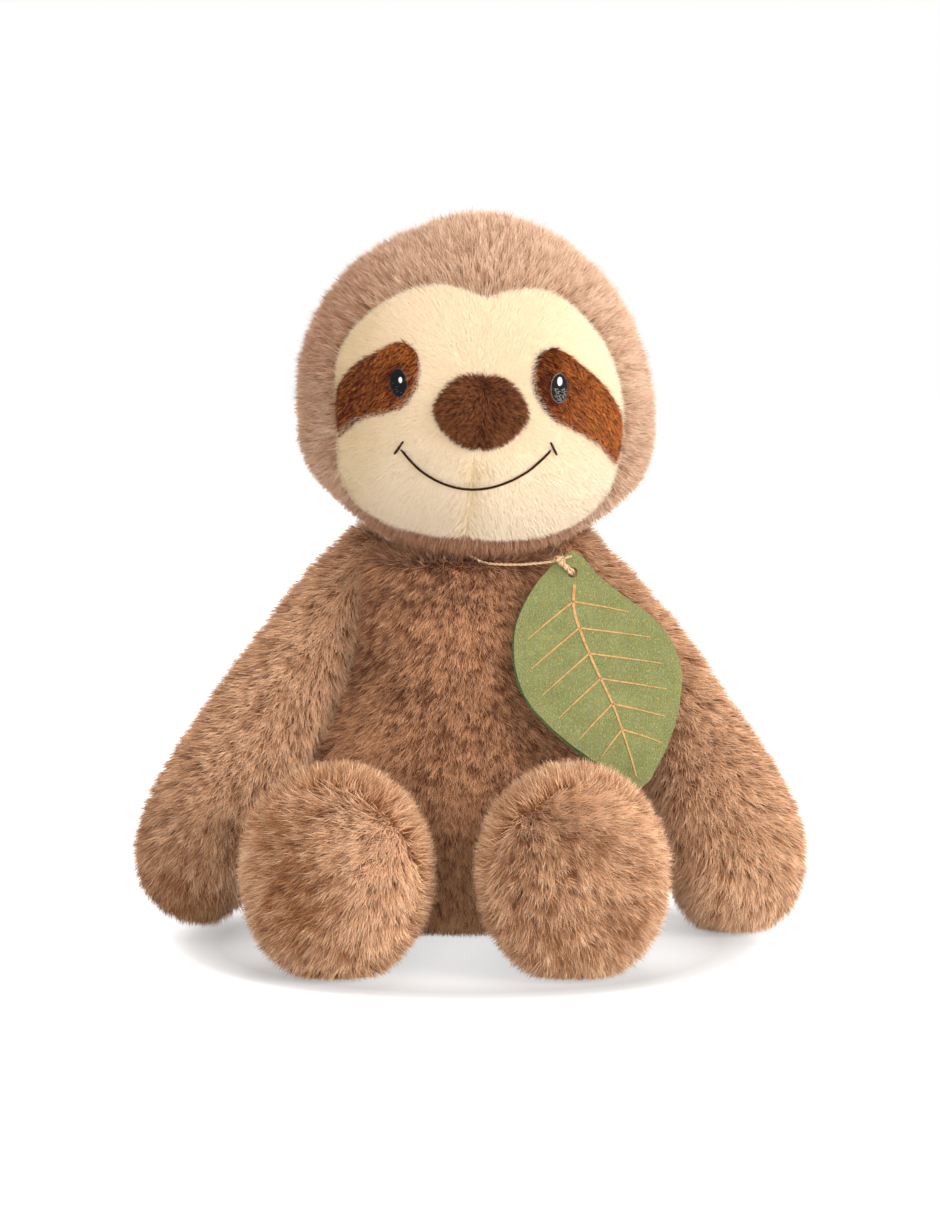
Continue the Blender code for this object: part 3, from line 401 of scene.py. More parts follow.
# One fibre of long pile is a bent kite and one of short nap a plain point
LONG_FIBRE = (((0.0, 0.0, 0.0), (0.13, -0.5, 0.42), (0.13, 0.5, 0.42), (0.40, 0.0, 1.0)),
              ((0, 1, 2), (2, 1, 3)))
SHORT_FIBRE = (((0.0, -0.5, 0.0), (0.0, 0.5, 0.0), (0.30, 0.0, 1.0)), ((0, 1, 2),))


def set_numbers(piece, name, kind, values):
    """Keeps one number or direction for each corner of the piece under a name."""
    held = piece.data.attributes.new(name, kind, "POINT")
    key = "vector" if kind == "FLOAT_VECTOR" else "value"
    held.data.foreach_set(key, np.asarray(values, np.float32).ravel())


def make_fibre(name, shape):
    fibre = bpy.data.objects.new(name, make_mesh(name, *shape))
    set_numbers(fibre, "fur_along", "FLOAT", [corner[2] for corner in shape[0]])
    return fibre


def node_group(name, inputs, output):
    """A Geometry Nodes group with named inputs and one geometry output, and its input sockets."""
    tree = bpy.data.node_groups.new(name, "GeometryNodeTree")
    for label, kind in inputs:
        tree.interface.new_socket(label, in_out="INPUT", socket_type="NodeSocket" + kind)
    tree.interface.new_socket(output, in_out="OUTPUT", socket_type="NodeSocketGeometry")
    return tree, add_node(tree, "NodeGroupInput").outputs


def pile_tree():
    """Plants tapered fibres over a skin: their lean follows the skin's own comb direction,
    with swirls, tufts and single stray fibres, and each keeps its own tone of the dye."""
    amounts = ("Fibres per square metre", "Pile length", "Fibre width", "Stand", "Swirl", "Swirl size",
               "Tuft pull",
               "Tuft size", "Tuft shade", "Stray", "Length spread", "Tone spread", "Mottle", "Mottle size", "Lowest")
    tree, given = node_group("plush_pile", (
        ("Skin", "Geometry"), ("Fibre", "Object"), ("Dyed pile", "Material"),
        *((label, "Float") for label in amounts), ("Seed", "Int")), "Pile")
    comb, skin_normal, cover, pile, shade, fur_tone, fur_along = (
        add_node(tree, "GeometryNodeInputNamedAttribute", {"Name": name}, data_type=kind).outputs["Attribute"]
        for name, kind in (("comb", "FLOAT_VECTOR"), ("skin_normal", "FLOAT_VECTOR"), ("cover", "FLOAT"),
                           ("pile", "FLOAT"), ("shade", "FLOAT"), ("fur_tone", "FLOAT"), ("fur_along",
                                                                                          "FLOAT")))
    swirl_scale, tuft_scale, mottle_scale = (
        add_node(tree, MATHS, {0: 1.0, 1: given[name]}, operation="DIVIDE").outputs[0]
        for name in ("Swirl size", "Tuft size", "Mottle size"))
    roll, spread, own = (
        add_node(tree, "FunctionNodeRandomValue", {2: -reach, 3: reach, "Seed": seed},
                 data_type="FLOAT").outputs[1]
        for reach, seed in ((1.1, 12), (1.0, 13), (0.5, 14)))
    either_way = {0: (-1, -1, -1), 1: (1, 1, 1), "Seed": 11}
    stray = add_node(tree, "FunctionNodeRandomValue", either_way, data_type="FLOAT_VECTOR").outputs[0]
    place = add_node(tree, "GeometryNodeInputPosition").outputs[0]

    # Roots of the fibres, each with the normal of the skin there
    density = {0: cover, 1: given["Fibres per square metre"]}
    density = add_node(tree, MATHS, density, operation="MULTIPLY").outputs[0]
    plants = {"Mesh": given["Skin"], "Density": density, "Seed": given["Seed"]}
    plants = add_node(tree, "GeometryNodeDistributePointsOnFaces", plants, distribute_method="RANDOM").outputs
    roots = {"Name": "skin_normal", "Geometry": plants["Points"], "Value": plants["Normal"]}
    roots = add_node(tree, STORE, roots, data_type="FLOAT_VECTOR", domain="POINT").outputs[0]

    # Lean: the comb, how far the pile stands, swirls, the pull of each tuft and stray fibres
    swirls = add_node(tree, NOISE, {"Detail": 1.5, "Vector": place, "Scale": swirl_scale}).outputs["Color"]
    swirls = add_node(tree, VECTOR_MATHS, {0: swirls, 1: (0.5, 0.5, 0.5)}, operation="SUBTRACT").outputs[0]
    reach = add_node(tree, MATHS, {0: given["Swirl"], 1: 4.0}, operation="MULTIPLY").outputs[0]
    tufts = add_node(tree, "ShaderNodeTexVoronoi", {"Vector": place, "Scale": tuft_scale}).outputs
    pull = add_node(tree, VECTOR_MATHS, {0: tufts["Position"], 1: place}, operation="SUBTRACT").outputs[0]
    pull = add_node(tree, VECTOR_MATHS, {0: pull, 3: tuft_scale}, operation="SCALE").outputs[0]
    standing, swirl, tuft, stray = (
        add_node(tree, VECTOR_MATHS, {0: vector, 3: amount}, operation="SCALE").outputs[0]
        for vector, amount in ((skin_normal, given["Stand"]), (swirls, reach), (pull, given["Tuft pull"]),
                               (stray, given["Stray"])))
    lean = add_node(tree, VECTOR_MATHS, {0: comb, 1: standing}, operation="ADD").outputs[0]
    lean = add_node(tree, VECTOR_MATHS, {0: lean, 1: swirl}, operation="ADD").outputs[0]
    loose = add_node(tree, VECTOR_MATHS, {0: tuft, 1: stray}, operation="ADD").outputs[0]
    lean = add_node(tree, VECTOR_MATHS, {0: lean, 1: loose}, operation="ADD").outputs[0]
    turn = add_node(tree, ALIGN, {"Vector": lean}, axis="Z").outputs[0]
    turn = {"Rotation": turn, "Vector": comb}
    turn = add_node(tree, ALIGN, turn, axis="X", pivot_axis="Z").outputs[0]
    roll = add_node(tree, "FunctionNodeAxisAngleToRotation", {"Axis": (0, 0, 1), "Angle": roll}).outputs[0]
    turn = {"Rotation": turn, "Rotate By": roll}
    turn = add_node(tree, "FunctionNodeRotateRotation", turn, rotation_space="LOCAL").outputs[0]

    # Size
    length = add_node(tree, MATHS, {0: spread, 1: given["Length spread"]}, operation="MULTIPLY").outputs[0]
    length = add_node(tree, MATHS, {0: length, 1: 1.0}, operation="ADD").outputs[0]
    for factor in (pile, given["Pile length"]):
        length = add_node(tree, MATHS, {0: length, 1: factor}, operation="MULTIPLY").outputs[0]
    size = add_node(tree, COMBINE, {"X": length, "Y": given["Fibre width"], "Z": length}).outputs[0]

    # Tone of the dye: the skin's shade, which holds painted light and shade, cloudy mottling, painted shade in the
    # partings between tufts, and each fibre's own
    mottle = {"Detail": 3.0, "Roughness": 0.6, "Vector": place, "Scale": mottle_scale}
    mottle = add_node(tree, NOISE, mottle).outputs["Fac"]
    mottle = add_node(tree, MATHS, {0: mottle, 1: 0.5}, operation="SUBTRACT").outputs[0]
    parting_shade = add_node(tree, MATHS, {0: 0.45, 1: tufts["Distance"]}, operation="SUBTRACT").outputs[0]
    mottle, own, parting_shade = (
        add_node(tree, MATHS, {0: tone, 1: given[name]}, operation="MULTIPLY").outputs[0]
        for tone, name in ((mottle, "Mottle"), (own, "Tone spread"), (parting_shade, "Tuft shade")))
    own = add_node(tree, MATHS, {0: own, 1: parting_shade}, operation="ADD").outputs[0]
    tone = add_node(tree, MATHS, {0: shade, 1: mottle}, operation="ADD").outputs[0]
    tone = add_node(tree, MATHS, {0: tone, 1: own}, operation="ADD").outputs[0]
    tone = add_node(tree, "ShaderNodeClamp", {"Value": tone}).outputs[0]
    toned = {"Name": "fur_tone", "Geometry": roots, "Value": tone}
    toned = add_node(tree, STORE, toned, data_type="FLOAT", domain="POINT").outputs[0]

    # The fibres themselves, none below the floor
    fibre = add_node(tree, "GeometryNodeObjectInfo",
                     {"As Instance": True, "Object": given["Fibre"]}).outputs["Geometry"]
    grown = {"Points": toned, "Instance": fibre, "Rotation": turn, "Scale": size}
    grown = add_node(tree, "GeometryNodeInstanceOnPoints", grown).outputs[0]
    grown = add_node(tree, "GeometryNodeRealizeInstances", {"Geometry": grown}).outputs[0]
    parts = add_node(tree, "ShaderNodeSeparateXYZ", {"Vector": place}).outputs
    raised = add_node(tree, MATHS, {0: parts["Z"], 1: given["Lowest"]}, operation="MAXIMUM").outputs[0]
    spot = add_node(tree, COMBINE, {"X": parts["X"], "Y": parts["Y"], "Z": raised}).outputs[0]
    grown = add_node(tree, "GeometryNodeSetPosition", {"Geometry": grown, "Position": spot}).outputs[0]
    sheet = add_node(tree, COMBINE, {"X": fur_tone, "Y": fur_along}).outputs[0]
    mapped = {"Name": "OFBake", "Geometry": grown, "Value": sheet}
    mapped = add_node(tree, STORE, mapped, data_type="FLOAT2", domain="CORNER").outputs[0]
    dyed = add_node(tree, "GeometryNodeSetMaterial",
                    {"Geometry": mapped, "Material": given["Dyed pile"]}).outputs[0]
    add_node(tree, "NodeGroupOutput", {"Pile": dyed})
    return tree


PILE_FIBRE = make_fibre("long_fibre", LONG_FIBRE)
NAP_FIBRE = make_fibre("short_fibre", SHORT_FIBRE)
PILE_TREE = pile_tree()


def worked(name, data, tree, wanted):
    """Runs a node group with its inputs on mesh data and leaves a plain mesh as a new piece."""
    host = put(name + "_host", data)
    worker = host.modifiers.new(name, "NODES")
    worker.node_group = tree
    for socket in tree.interface.items_tree:
        if socket.in_out == "INPUT" and socket.name in wanted:
            worker[socket.identifier] = wanted[socket.name]
    graph = bpy.context.evaluated_depsgraph_get()
    made = bpy.data.meshes.new_from_object(host.evaluated_get(graph), preserve_all_data_layers=True,
                                           depsgraph=graph)
    made.name = name
    bpy.data.objects.remove(host)
    return put(name, made)


def grow_pile(name, skin, body, slot, material, settings, *nodes):
    """Plants pile on a skin and leaves it as a plain mesh that rides on the body."""
    wanted = {"Fibre": PILE_FIBRE, "Dyed pile": material, "Tuft shade": 0.0, "Length spread": 0.3,
              "Lowest": FLOOR_CLEARANCE, **settings}
    piece = worked(name, skin.data.copy(), PILE_TREE, wanted)
    for extra in ("skin_normal", "comb", "cover", "pile", "shade"):
        if extra in piece.data.attributes:
            piece.data.attributes.remove(piece.data.attributes[extra])
    fix(piece, body, slot, *nodes)


def dyed_pile(name, dark, light, roughness=0.75, sheen=0.12):
    """Polyester plush pile. Each fibre is darker at its root, where light is lost, and pale at
    its tip; dark and light are its three colours, root to tip, for the two ends of the tone."""
    material = bpy.data.materials.new(name)
    material.use_nodes = True
    tree = material.node_tree
    along, tone = (add_node(tree, "ShaderNodeAttribute", attribute_name=layer).outputs["Fac"]
                   for layer in ("fur_along", "fur_tone"))
    mixed = {0: tone}
    for socket, codes in ((6, dark), (7, light)):
        ramp = add_node(tree, "ShaderNodeValToRGB", {"Fac": along})
        ramp.color_ramp.elements.new(0.5)
        for stop, code in zip(ramp.color_ramp.elements, codes):
            stop.color = linear(code)
        mixed[socket] = ramp.outputs["Color"]
    give(tree.nodes["Principled BSDF"], {
        "Base Color": add_node(tree, "ShaderNodeMix", mixed,
                               data_type="RGBA").outputs[2], "Roughness": roughness,
        "Specular IOR Level": 0.2, "Sheen Weight": sheen, "Sheen Roughness": 0.6})
    return material


def plush_backing(name, dark, light):
    """The knitted backing between the roots of the pile: dense, with a fine nap, and painted dark as the shade deep
    between the fibres.
    """
    nap = {"Scale": 1 / 0.0016, "Detail": 4.0}
    return grained(name, nap, ((0.35, dark), (0.65, light)), 0.95, 0.1, (0.6, 0.0006))


def table_value(table, share, column=1):
    """A value read from a table of shares on a smooth curve."""
    if share <= table[0][0]:
        return table[0][column]
    if share >= table[-1][0]:
        return table[-1][column]
    span = max(i for i in range(len(table) - 1) if table[i][0] <= share)
    a, b, c, d = (table[min(max(span + k, 0), len(table) - 1)] for k in (-1, 0, 1, 2))
    t = (share - b[0]) / (c[0] - b[0])
    p, q, r, s = a[column], b[column], c[column], d[column]
    return 0.5 * (2 * q + (r - p) * t + (2 * p - 5 * q + 4 * r - s) * t**2 + (3 * q - p - 3 * r + s) * t**3)


def closed_skin(name, rings, first_pole, last_pole, material):
    """A closed cloth form through rings of points, with a point at each end, right side out."""
    rings = np.asarray(rings, float)
    corners = np.vstack([rings.reshape(-1, 3), [first_pole], [last_pole]])
    corners[:, 2] = np.maximum(corners[:, 2], FLOOR_CLEARANCE * 2)
    piece = put(name, make_mesh(name, corners, ring_faces(*rings.shape[:2]), material))
    centre = Vector(corners.mean(axis=0))
    if sum((p.center - centre).dot(p.normal) * p.area for p in piece.data.polygons) < 0:
        piece.data.flip_normals()
    return piece


def skin_arrays(skin):
    data = skin.data
    places = np.empty(len(data.vertices) * 3)
    data.vertices.foreach_get("co", places)
    normals = np.empty(len(data.vertices) * 3, np.float32)
    data.vertex_normals.foreach_get("vector", normals)
    return places.reshape(-1, 3), normals.reshape(-1, 3).astype(float)


def in_surface(directions, normals):
    """Directions laid into the surface, each one long."""
    flat = directions - normals * (directions * normals).sum(axis=1)[:, None]
    size = np.linalg.norm(flat, axis=1)
    return flat / np.maximum(size, 1e-6)[:, None]


def comb_skin(skin, comb, cover, pile, shade):
    """Writes on each corner of a skin which way its pile leans, and how much of it grows there."""
    count = len(skin.data.vertices)
    for name in ("comb", "cover", "pile", "shade"):
        if name in skin.data.attributes:
            skin.data.attributes.remove(skin.data.attributes[name])
    set_numbers(skin, "comb", "FLOAT_VECTOR", comb)
    for name, values in (("cover", cover), ("pile", pile), ("shade", shade)):
        set_numbers(skin, name, "FLOAT", np.broadcast_to(values, (count,)))


def soft_step(values, low, high):
    t = np.clip((values - low) / (high - low), 0, 1)
    return t * t * (3 - 2 * t)


TORSO_RINGS = 56
TORSO_RING_CORNERS = 96
TORSO_PILE = {
    "Pile length": 0.0047, "Stand": 1.9, "Stray": 0.50, "Tuft pull": 0.8, "Tuft size": 0.0021, "Tuft shade": 0.9,
    "Swirl": 0.50, "Swirl size": 0.009, "Mottle": 4.8, "Mottle size": 0.0032, "Tone spread": 1.1}

turns = 2 * pi * np.arange(TORSO_RING_CORNERS) / TORSO_RING_CORNERS
rings = []
for share in np.linspace(TORSO_RING_SHARES[0][0], TORSO_RING_SHARES[-1][0], TORSO_RINGS):
    forward = 0.010 * share**3
    half_width = TORSO_WIDTH / 2 * table_value(TORSO_RING_SHARES, share) - CLOTH_DEPTH + TORSO_SIDE_FILL
    half_width += TORSO_SEAT_SWELL * exp(-(((share - 0.34) / 0.14) ** 2))
    half_depth = TORSO_DEPTH / 2 * table_value(TORSO_RING_SHARES, share, 2) - CLOTH_DEPTH
    height = max(share * TORSO_HEIGHT, CLOTH_DEPTH * (1 - share))
    rings.append(np.stack([
        TOY.x + TORSO_SIDE_OFFSET + half_width * np.cos(turns),
        TOY.y - forward + half_depth * np.sin(turns),
        np.full(TORSO_RING_CORNERS, height)], axis=1))
last = rings[-1]
middle = last.mean(axis=0)
for step in range(1, 8):
    angle = pi / 2 * step / 8
    ring = middle + (last - middle) * cos(angle)
    ring[:, 2] = last[0, 2] + (TORSO_HEIGHT - CLOTH_DEPTH - last[0, 2]) * sin(angle)
    rings.append(ring)
lowest = (TOY.x + TORSO_SIDE_OFFSET, TOY.y, 0.001)
highest = (middle[0], middle[1], TORSO_HEIGHT - CLOTH_DEPTH)
backing = plush_backing("torso_knit_backing", "#54290F", "#824E2A")
skin = closed_skin("torso_cloth", rings, lowest, highest, backing)
places, normals = skin_arrays(skin)
heights = places[:, 2]
side = places[:, 0] - (TOY.x + TORSO_SIDE_OFFSET)

# Combed down and a little outward; under the seat outward from the middle, and thin
down = np.tile((0.0, 0.0, -1.0), (len(places), 1))
down[:, 0] += np.sign(side) * np.minimum(np.abs(side) / 0.06, 1) * 0.25
outward = np.stack([places[:, 0] - TOY.x, places[:, 1] - TOY.y, np.zeros(len(places))], axis=1) * 20
under = soft_step(-normals[:, 2], 0.93, 0.99)
comb = in_surface(in_surface(down, normals) * (1 - under[:, None]) + under[:, None] * outward, normals)
cover = 1 - 0.9 * under
# Painted shade darkens the top under the head, and painted light brightens the bottom between the legs, where the
# toy hides the lamps
shade = 0.62 - 0.03 * soft_step(heights, 0.115, 0.150)
for across, up, wide, tall, amount in TORSO_TONE_AND_SHADE_PATCHES:
    shade += amount * np.exp(-(((side - across) / wide) ** 2 + ((heights - up) / tall) ** 2))
shade += 0.30 * soft_step(-heights, -0.055, -0.020)
comb_skin(skin, comb, cover, 1.0, shade)
fix(skin, "torso", "brown_plush", "torso_skin", "torso_stuffing", fill=0.8)

# The pile, longer at the neck's left side where it fills the space under the chin
pile = dyed_pile("brown_plush_pile", ("#4A2210", "#6C3A1E", "#905636"), ("#7E4C2C", "#CC9064", "#FFCCA0"))
length = 1 + 0.5 * soft_step(-side, 0.018, 0.026) * soft_step(heights, 0.142, 0.151)
front = places[:, 1] < TOY.y + 0.004
high = heights > 0.070
for name, part, density, width, seed in (
    ("torso_chest_pile", front & high, 6.2e6, 0.00025, 7),
    ("torso_belly_pile", front & ~high, 6.2e6, 0.00025, 9),
    ("torso_back_pile", ~front, 3.5e6, 0.00036, 8),
):
    comb_skin(skin, comb, cover * part, length, shade)
    grow_pile(name, skin, "torso", "brown_plush", pile, {
        "Fibres per square metre": density, "Fibre width": width, "Seed": seed, **TORSO_PILE})


# Arms: two long tubes of tan plush, thin at the shoulder and swelling to a round paw,
# filled softly and sewn to the torso's sides. The pile is combed towards the paw.
SHOULDER_SPACING = 0.092
SHOULDER_HEIGHT = 0.138
ARM_GIRTH_RADIUS = 0.0275
ARM_DEPTH_SHARE = 0.92
# Rows of a route: how far out, forward and down from the shoulder, and the radius there
ARM_ROUTES = {
    "left": ((-0.0085, 0.0, -0.0165, 0.0128), (0.0040, 0.001, 0.0030, 0.0178),
             (0.0178, 0.004, 0.0289, 0.0230),
             (0.0372, 0.010, 0.0610, 0.0262), (0.0526, 0.016, 0.0880, 0.0282), (0.0592, 0.0187, 0.1118,
                                                                                0.0288),
             (0.0548, 0.020, 0.1350, 0.0262)),
    "right": ((-0.0010, 0.0, -0.0150, 0.0145), (0.0102, 0.001, 0.0050, 0.0200),
              (0.0290, 0.005, 0.0317, 0.0230),
              (0.0462, 0.012, 0.0604, 0.0250), (0.0588, 0.019, 0.0870, 0.0296), (0.0654, 0.022, 0.1104,
                                                                                 0.0304),
              (0.0525, 0.024, 0.1372, 0.0286)),
}
PAW_ROUND_SHARE = 1.0
LIMB_PILE = {
    "Pile length": 0.0066, "Stand": 1.8, "Stray": 0.48, "Tuft pull": 0.8, "Tuft size": 0.0028, "Tuft shade": 0.7,
    "Swirl": 0.50, "Swirl size": 0.010, "Mottle": 2.8, "Mottle size": 0.0040, "Tone spread": 0.8}


def limb_skin(name, route, girths, girth, ball, depth_share, round_share, material, rows=64, around=72):
    """A limb's cloth along its route, and for each corner how far along it is and which way it runs."""
    places = smooth_line(route, 12)
    lengths = runs_along(places)
    total = lengths[-1] - CLOTH_DEPTH
    ahead = np.gradient(places, axis=0)
    ahead /= np.linalg.norm(ahead, axis=1)[:, None]
    start = ahead[0]
    across = np.cross(start, (0, 0, 1.0))
    if np.linalg.norm(across) < 0.2:
        across = np.cross(start, (0, 1.0, 0))
    across /= np.linalg.norm(across)
    turns = 2 * pi * np.arange(around) / around
    rings, runs, farness = [], [], []
    inner_ball = ball - CLOTH_DEPTH
    for step in range(1, 6):
        angle = pi / 2 * step / 6
        centre = places[0] - start * inner_ball * cos(angle)
        upward = np.cross(across, start)
        radius = inner_ball * sin(angle)
        rings.append(centre + radius * (across * np.cos(turns)[:, None] + upward * np.sin(turns)[:, None]))
        runs.append(np.tile(start, (around, 1)))
        farness.append(np.zeros(around))
    end_length = girth * round_share
    end_start = total - end_length
    shares = list(np.linspace(0, end_start / total, rows - 14))
    shares += [(end_start + end_length * sin(pi / 2 * step / 15)) / total for step in range(1, 15)]
    for share in shares:
        distance = share * total
        place = np.array([np.interp(distance, lengths, places[:, k]) for k in range(3)])
        along = np.array([np.interp(distance, lengths, ahead[:, k]) for k in range(3)])
        along /= np.linalg.norm(along)
        across = across - along * across.dot(along)
        across /= np.linalg.norm(across)
        upward = np.cross(across, along)
        beyond = max(distance - end_start, 0) / end_length
        radius = girth * table_value(girths, share)
        radius = max(radius * sqrt(max(1 - beyond**2.4, 0)) - CLOTH_DEPTH, girth * 0.02)
        flat = depth_share + (1 - depth_share) * max(1 - share * 6, 0)
        rings.append(place + radius * (flat * across * np.cos(turns)[:, None] + upward * np.sin(turns)[:,
                                                                                                       None]))
        runs.append(np.tile(along, (around, 1)))
        farness.append(np.full(around, share))
    tip = np.array([np.interp(total, lengths, places[:, k]) for k in range(3)])
    skin = closed_skin(name, rings, places[0] - start * inner_ball, tip, material)
    runs = np.vstack(runs + [start[None], ahead[-1][None]])
    farness = np.concatenate(farness + [[0.0, 1.0]])
    return skin, runs, farness, tip


backing = plush_backing("limb_knit_backing", "#683C1E", "#96623A")
pile = dyed_pile("tan_plush_pile", ("#5E3016", "#864E2A", "#B27644"), ("#8E5E3C", "#E4B084", "#FFE0BE"))
heights, wide, deep = np.array(TORSO_RING_SHARES).T
for word, side in (("left", -1), ("right", 1)):
    arm = "arm_" + word
    pivot = TOY + Vector((TORSO_SIDE_OFFSET + side * SHOULDER_SPACING / 2, 0, SHOULDER_HEIGHT))
    rows = np.array(ARM_ROUTES[word])
    route = [pivot + Vector((side * out, -forward, -down)) for out, forward, down, _ in rows]
    shares = runs_along(rows[:, :3])
    girths = list(zip(shares / shares[-1], rows[:, 3] / ARM_GIRTH_RADIUS))
    skin, runs, farness, tip = limb_skin(arm + "_cloth", route, girths, ARM_GIRTH_RADIUS, rows[0, 3],
                                         ARM_DEPTH_SHARE, PAW_ROUND_SHARE, backing)
    places, normals = skin_arrays(skin)
    lean = runs.copy()
    lean[:, 0] += side * 0.25
    comb = in_surface(lean, normals)

    # Less pile inside the torso's outline
    level = places[:, 2] / TORSO_HEIGHT
    half_width = TORSO_WIDTH / 2 * np.interp(level, heights, wide)
    half_depth = TORSO_DEPTH / 2 * np.interp(level, heights, deep)
    inside = ((places[:, 0] - TOY.x - TORSO_SIDE_OFFSET) / half_width) ** 2
    inside += ((places[:, 1] - TOY.y) / half_depth) ** 2
    cover = 0.25 + 0.75 * soft_step(inside, 0.55, 0.75)
    # Painted light and shade: the right arm lighter, lit by the key lamp on the right, and each arm darker towards
    # its paw; the inner side lighter where the torso keeps the key lamp's light off; the left arm lighter at the
    # shoulder and darker under its paw
    plain, paw_shade = (0.84, 0.04) if side > 0 else (0.70, 0.14)
    shade = plain - paw_shade * soft_step(farness, 0.5, 0.9)
    shade += 0.40 * soft_step(-side * normals[:, 0], 0.1, 0.8)
    if side < 0:
        shade += 0.10 * soft_step(-farness, -0.40, -0.15) - 0.34 * soft_step(farness, 0.82, 0.95)
    comb_skin(skin, comb, cover, 1.0, shade)
    fix(skin, arm, "tan_plush", arm + "_skin", arm + "_stuffing", fill=0.7)
    grow_pile(arm + "_pile", skin, arm, "tan_plush", pile, {
        "Fibres per square metre": 4.1e6, "Fibre width": 0.00031, "Seed": 20 + side, **LIMB_PILE})


# Legs: two stout tubes of tan plush lying forward, each ending in a round sole sewn
# round its edge, with the seam sunk between the pile of the side and of the sole.
HIP_SPACING = 0.066
HIP_HEIGHT = 0.031
HIP_FORWARD = 0.022
HIP_BALL = 0.0245
LEG_LENGTH = 0.112
FOOT_RADIUS = 0.043
FOOT_WIDTH_SHARE = 0.85
FOOT_ROUND_SHARE = 0.57
LEG_GIRTH_SHARES = ((0.0, 0.56), (0.15, 0.575), (0.35, 0.655), (0.55, 0.89), (0.72, 1.0))
SOLE_RADIUS = 0.0344
# Cloudy patches of a sole's pile: across, up, size, and how much lighter
SOLE_PATCHES = {
    "left": ((-0.014, 0.018, 0.009, -0.28), (-0.004, -0.004, 0.012, -0.60), (-0.006, 0.030, 0.012, -0.30),
             (-0.012, -0.022, 0.010, -0.25), (0.008, -0.024, 0.009, -0.18), (0.024, 0.006, 0.012, 0.95),
             (0.021, -0.016, 0.010, 0.50), (-0.027, 0.0, 0.010, 0.15)),
    "right": ((-0.002, 0.010, 0.010, -0.10), (0.002, -0.002, 0.011, 0.32), (-0.002, 0.030, 0.010, 0.25),
              (0.010, -0.018, 0.010, -0.20), (-0.016, -0.008, 0.009, -0.24), (-0.010, -0.026, 0.010, -0.12),
              (0.020, 0.018, 0.010, 0.22), (-0.006, 0.028, 0.010, 0.20)),
}
SOLE_PILE = {**LIMB_PILE, "Fibres per square metre": 6.0e6, "Fibre width": 0.00029, "Stand": 1.4,
             "Mottle": 3.8, "Mottle size": 0.0032, "Swirl": 0.6, "Swirl size": 0.012}

# Each leg's side, how far out its foot lies, its shade and which way its sole's pile is swept
for word, side, out, plain, sweep in (("left", -1, 0.0208, 0.44, -0.9), ("right", 1, 0.0154, 0.54, 0.55)):
    leg = "leg_" + word
    pivot = TOY + Vector((TORSO_SIDE_OFFSET + side * HIP_SPACING / 2, -HIP_FORWARD, HIP_HEIGHT))
    end = pivot + Vector((side * out, -LEG_LENGTH, FOOT_RADIUS - 0.0005 - HIP_HEIGHT))
    route = [pivot, pivot.lerp(end, 1 / 3), pivot.lerp(end, 2 / 3), end]
    skin, runs, farness, tip = limb_skin(leg + "_cloth", route, LEG_GIRTH_SHARES, FOOT_RADIUS, HIP_BALL,
                                         FOOT_WIDTH_SHARE, FOOT_ROUND_SHARE, backing)
    places, normals = skin_arrays(skin)
    direction = np.array((end - pivot).normalized())
    from_tip = places - tip
    from_axis = from_tip - direction * (from_tip @ direction)[:, None]
    radial = np.linalg.norm(from_axis, axis=1)
    on_front = (from_tip @ direction) > -FOOT_RADIUS * FOOT_ROUND_SHARE * 1.1
    on_sole = on_front & (radial < SOLE_RADIUS * 0.93)
    cover = np.where(farness < 0.12, 0.1, 1.0)
    comb_skin(skin, in_surface(-runs, normals), cover * ~on_sole, 1.0, plain)
    fix(skin, leg, "tan_plush", leg + "_skin", leg + "_stuffing", fill=0.85)
    grow_pile(leg + "_pile", skin, leg, "tan_plush", pile, {
        "Fibres per square metre": 4.2e6, "Fibre width": 0.00031, "Seed": 30 + side, **LIMB_PILE})

    # The sole's pile is swept from its middle and to one side
    comb = in_surface(np.array((sweep, 0.0, -0.7)) + from_axis * 18, normals)
    shade = 0.52 + 0.30 * soft_step(radial, 0.024, 0.036)
    for across, up, reach, amount in SOLE_PATCHES[word]:
        away = np.linalg.norm((from_tip - np.array((across, 0, up)))[:, [0, 2]], axis=1)
        shade += amount * np.exp(-((away / reach) ** 2))
    comb_skin(skin, comb, on_sole * 1.0, 1.0, shade)
    grow_pile("sole_" + word + "_pile", skin, leg, "tan_plush", pile, {**SOLE_PILE, "Seed": 40 + side},
              "sole_" + word)


# Head: taupe plush sewn from panels round the face, closed below at the neck and
# filled firmly. Its shorter, denser pile stands up and away from the face's edge.
HEAD_WIDTH = 0.148
HEAD_HEIGHT = 0.1395
HEAD_DEPTH = 0.128
HEAD_BASE_HEIGHT = 0.153
HEAD_OFFSET = 0.0065
HEAD_FORWARD = 0.010
HEAD_ROLL = radians(4)
HEAD_TURN = radians(2)
CHEEK_SWELL_SHARE = 0.045
CROWN_TAPER_SHARE = 0.10
CROWN_LEAN = 0.0012
JOWL_SWELL = 0.0042
TEMPLE_TAPER = 0.0016
# Where the stuffing pushes a side out or lets it in: side, level, spread and amount
HEAD_TRIMS = (
    (-1, 0.16, 0.20, 0.0011), (-1, -0.24, 0.20, -0.0026), (1, 0.36, 0.26, -0.0012), (1, -0.54, 0.18, 0.0012),
)
CROWN_TRIM = 0.0020
MUZZLE_BULGE = 0.007
MUZZLE_WIDTH = 0.034
MUZZLE_HEIGHT = 0.026
MUZZLE_DROP = 0.022
FACE_HALF_WIDTH = 0.0575
FACE_HALF_HEIGHT = 0.0525
FACE_DROP = 0.0059
FACE_OUTLINE_SHARES = (
    (0.0, 0.86), (0.16, 0.91), (0.36, 0.94), (0.58, 0.87), (0.80, 0.67), (0.95, 0.42), (1.02, 0.05),
    (1.02, -0.22), (0.96, -0.54), (0.80, -0.81), (0.57, -0.955), (0.28, -1.01), (0.0, -1.02),
)
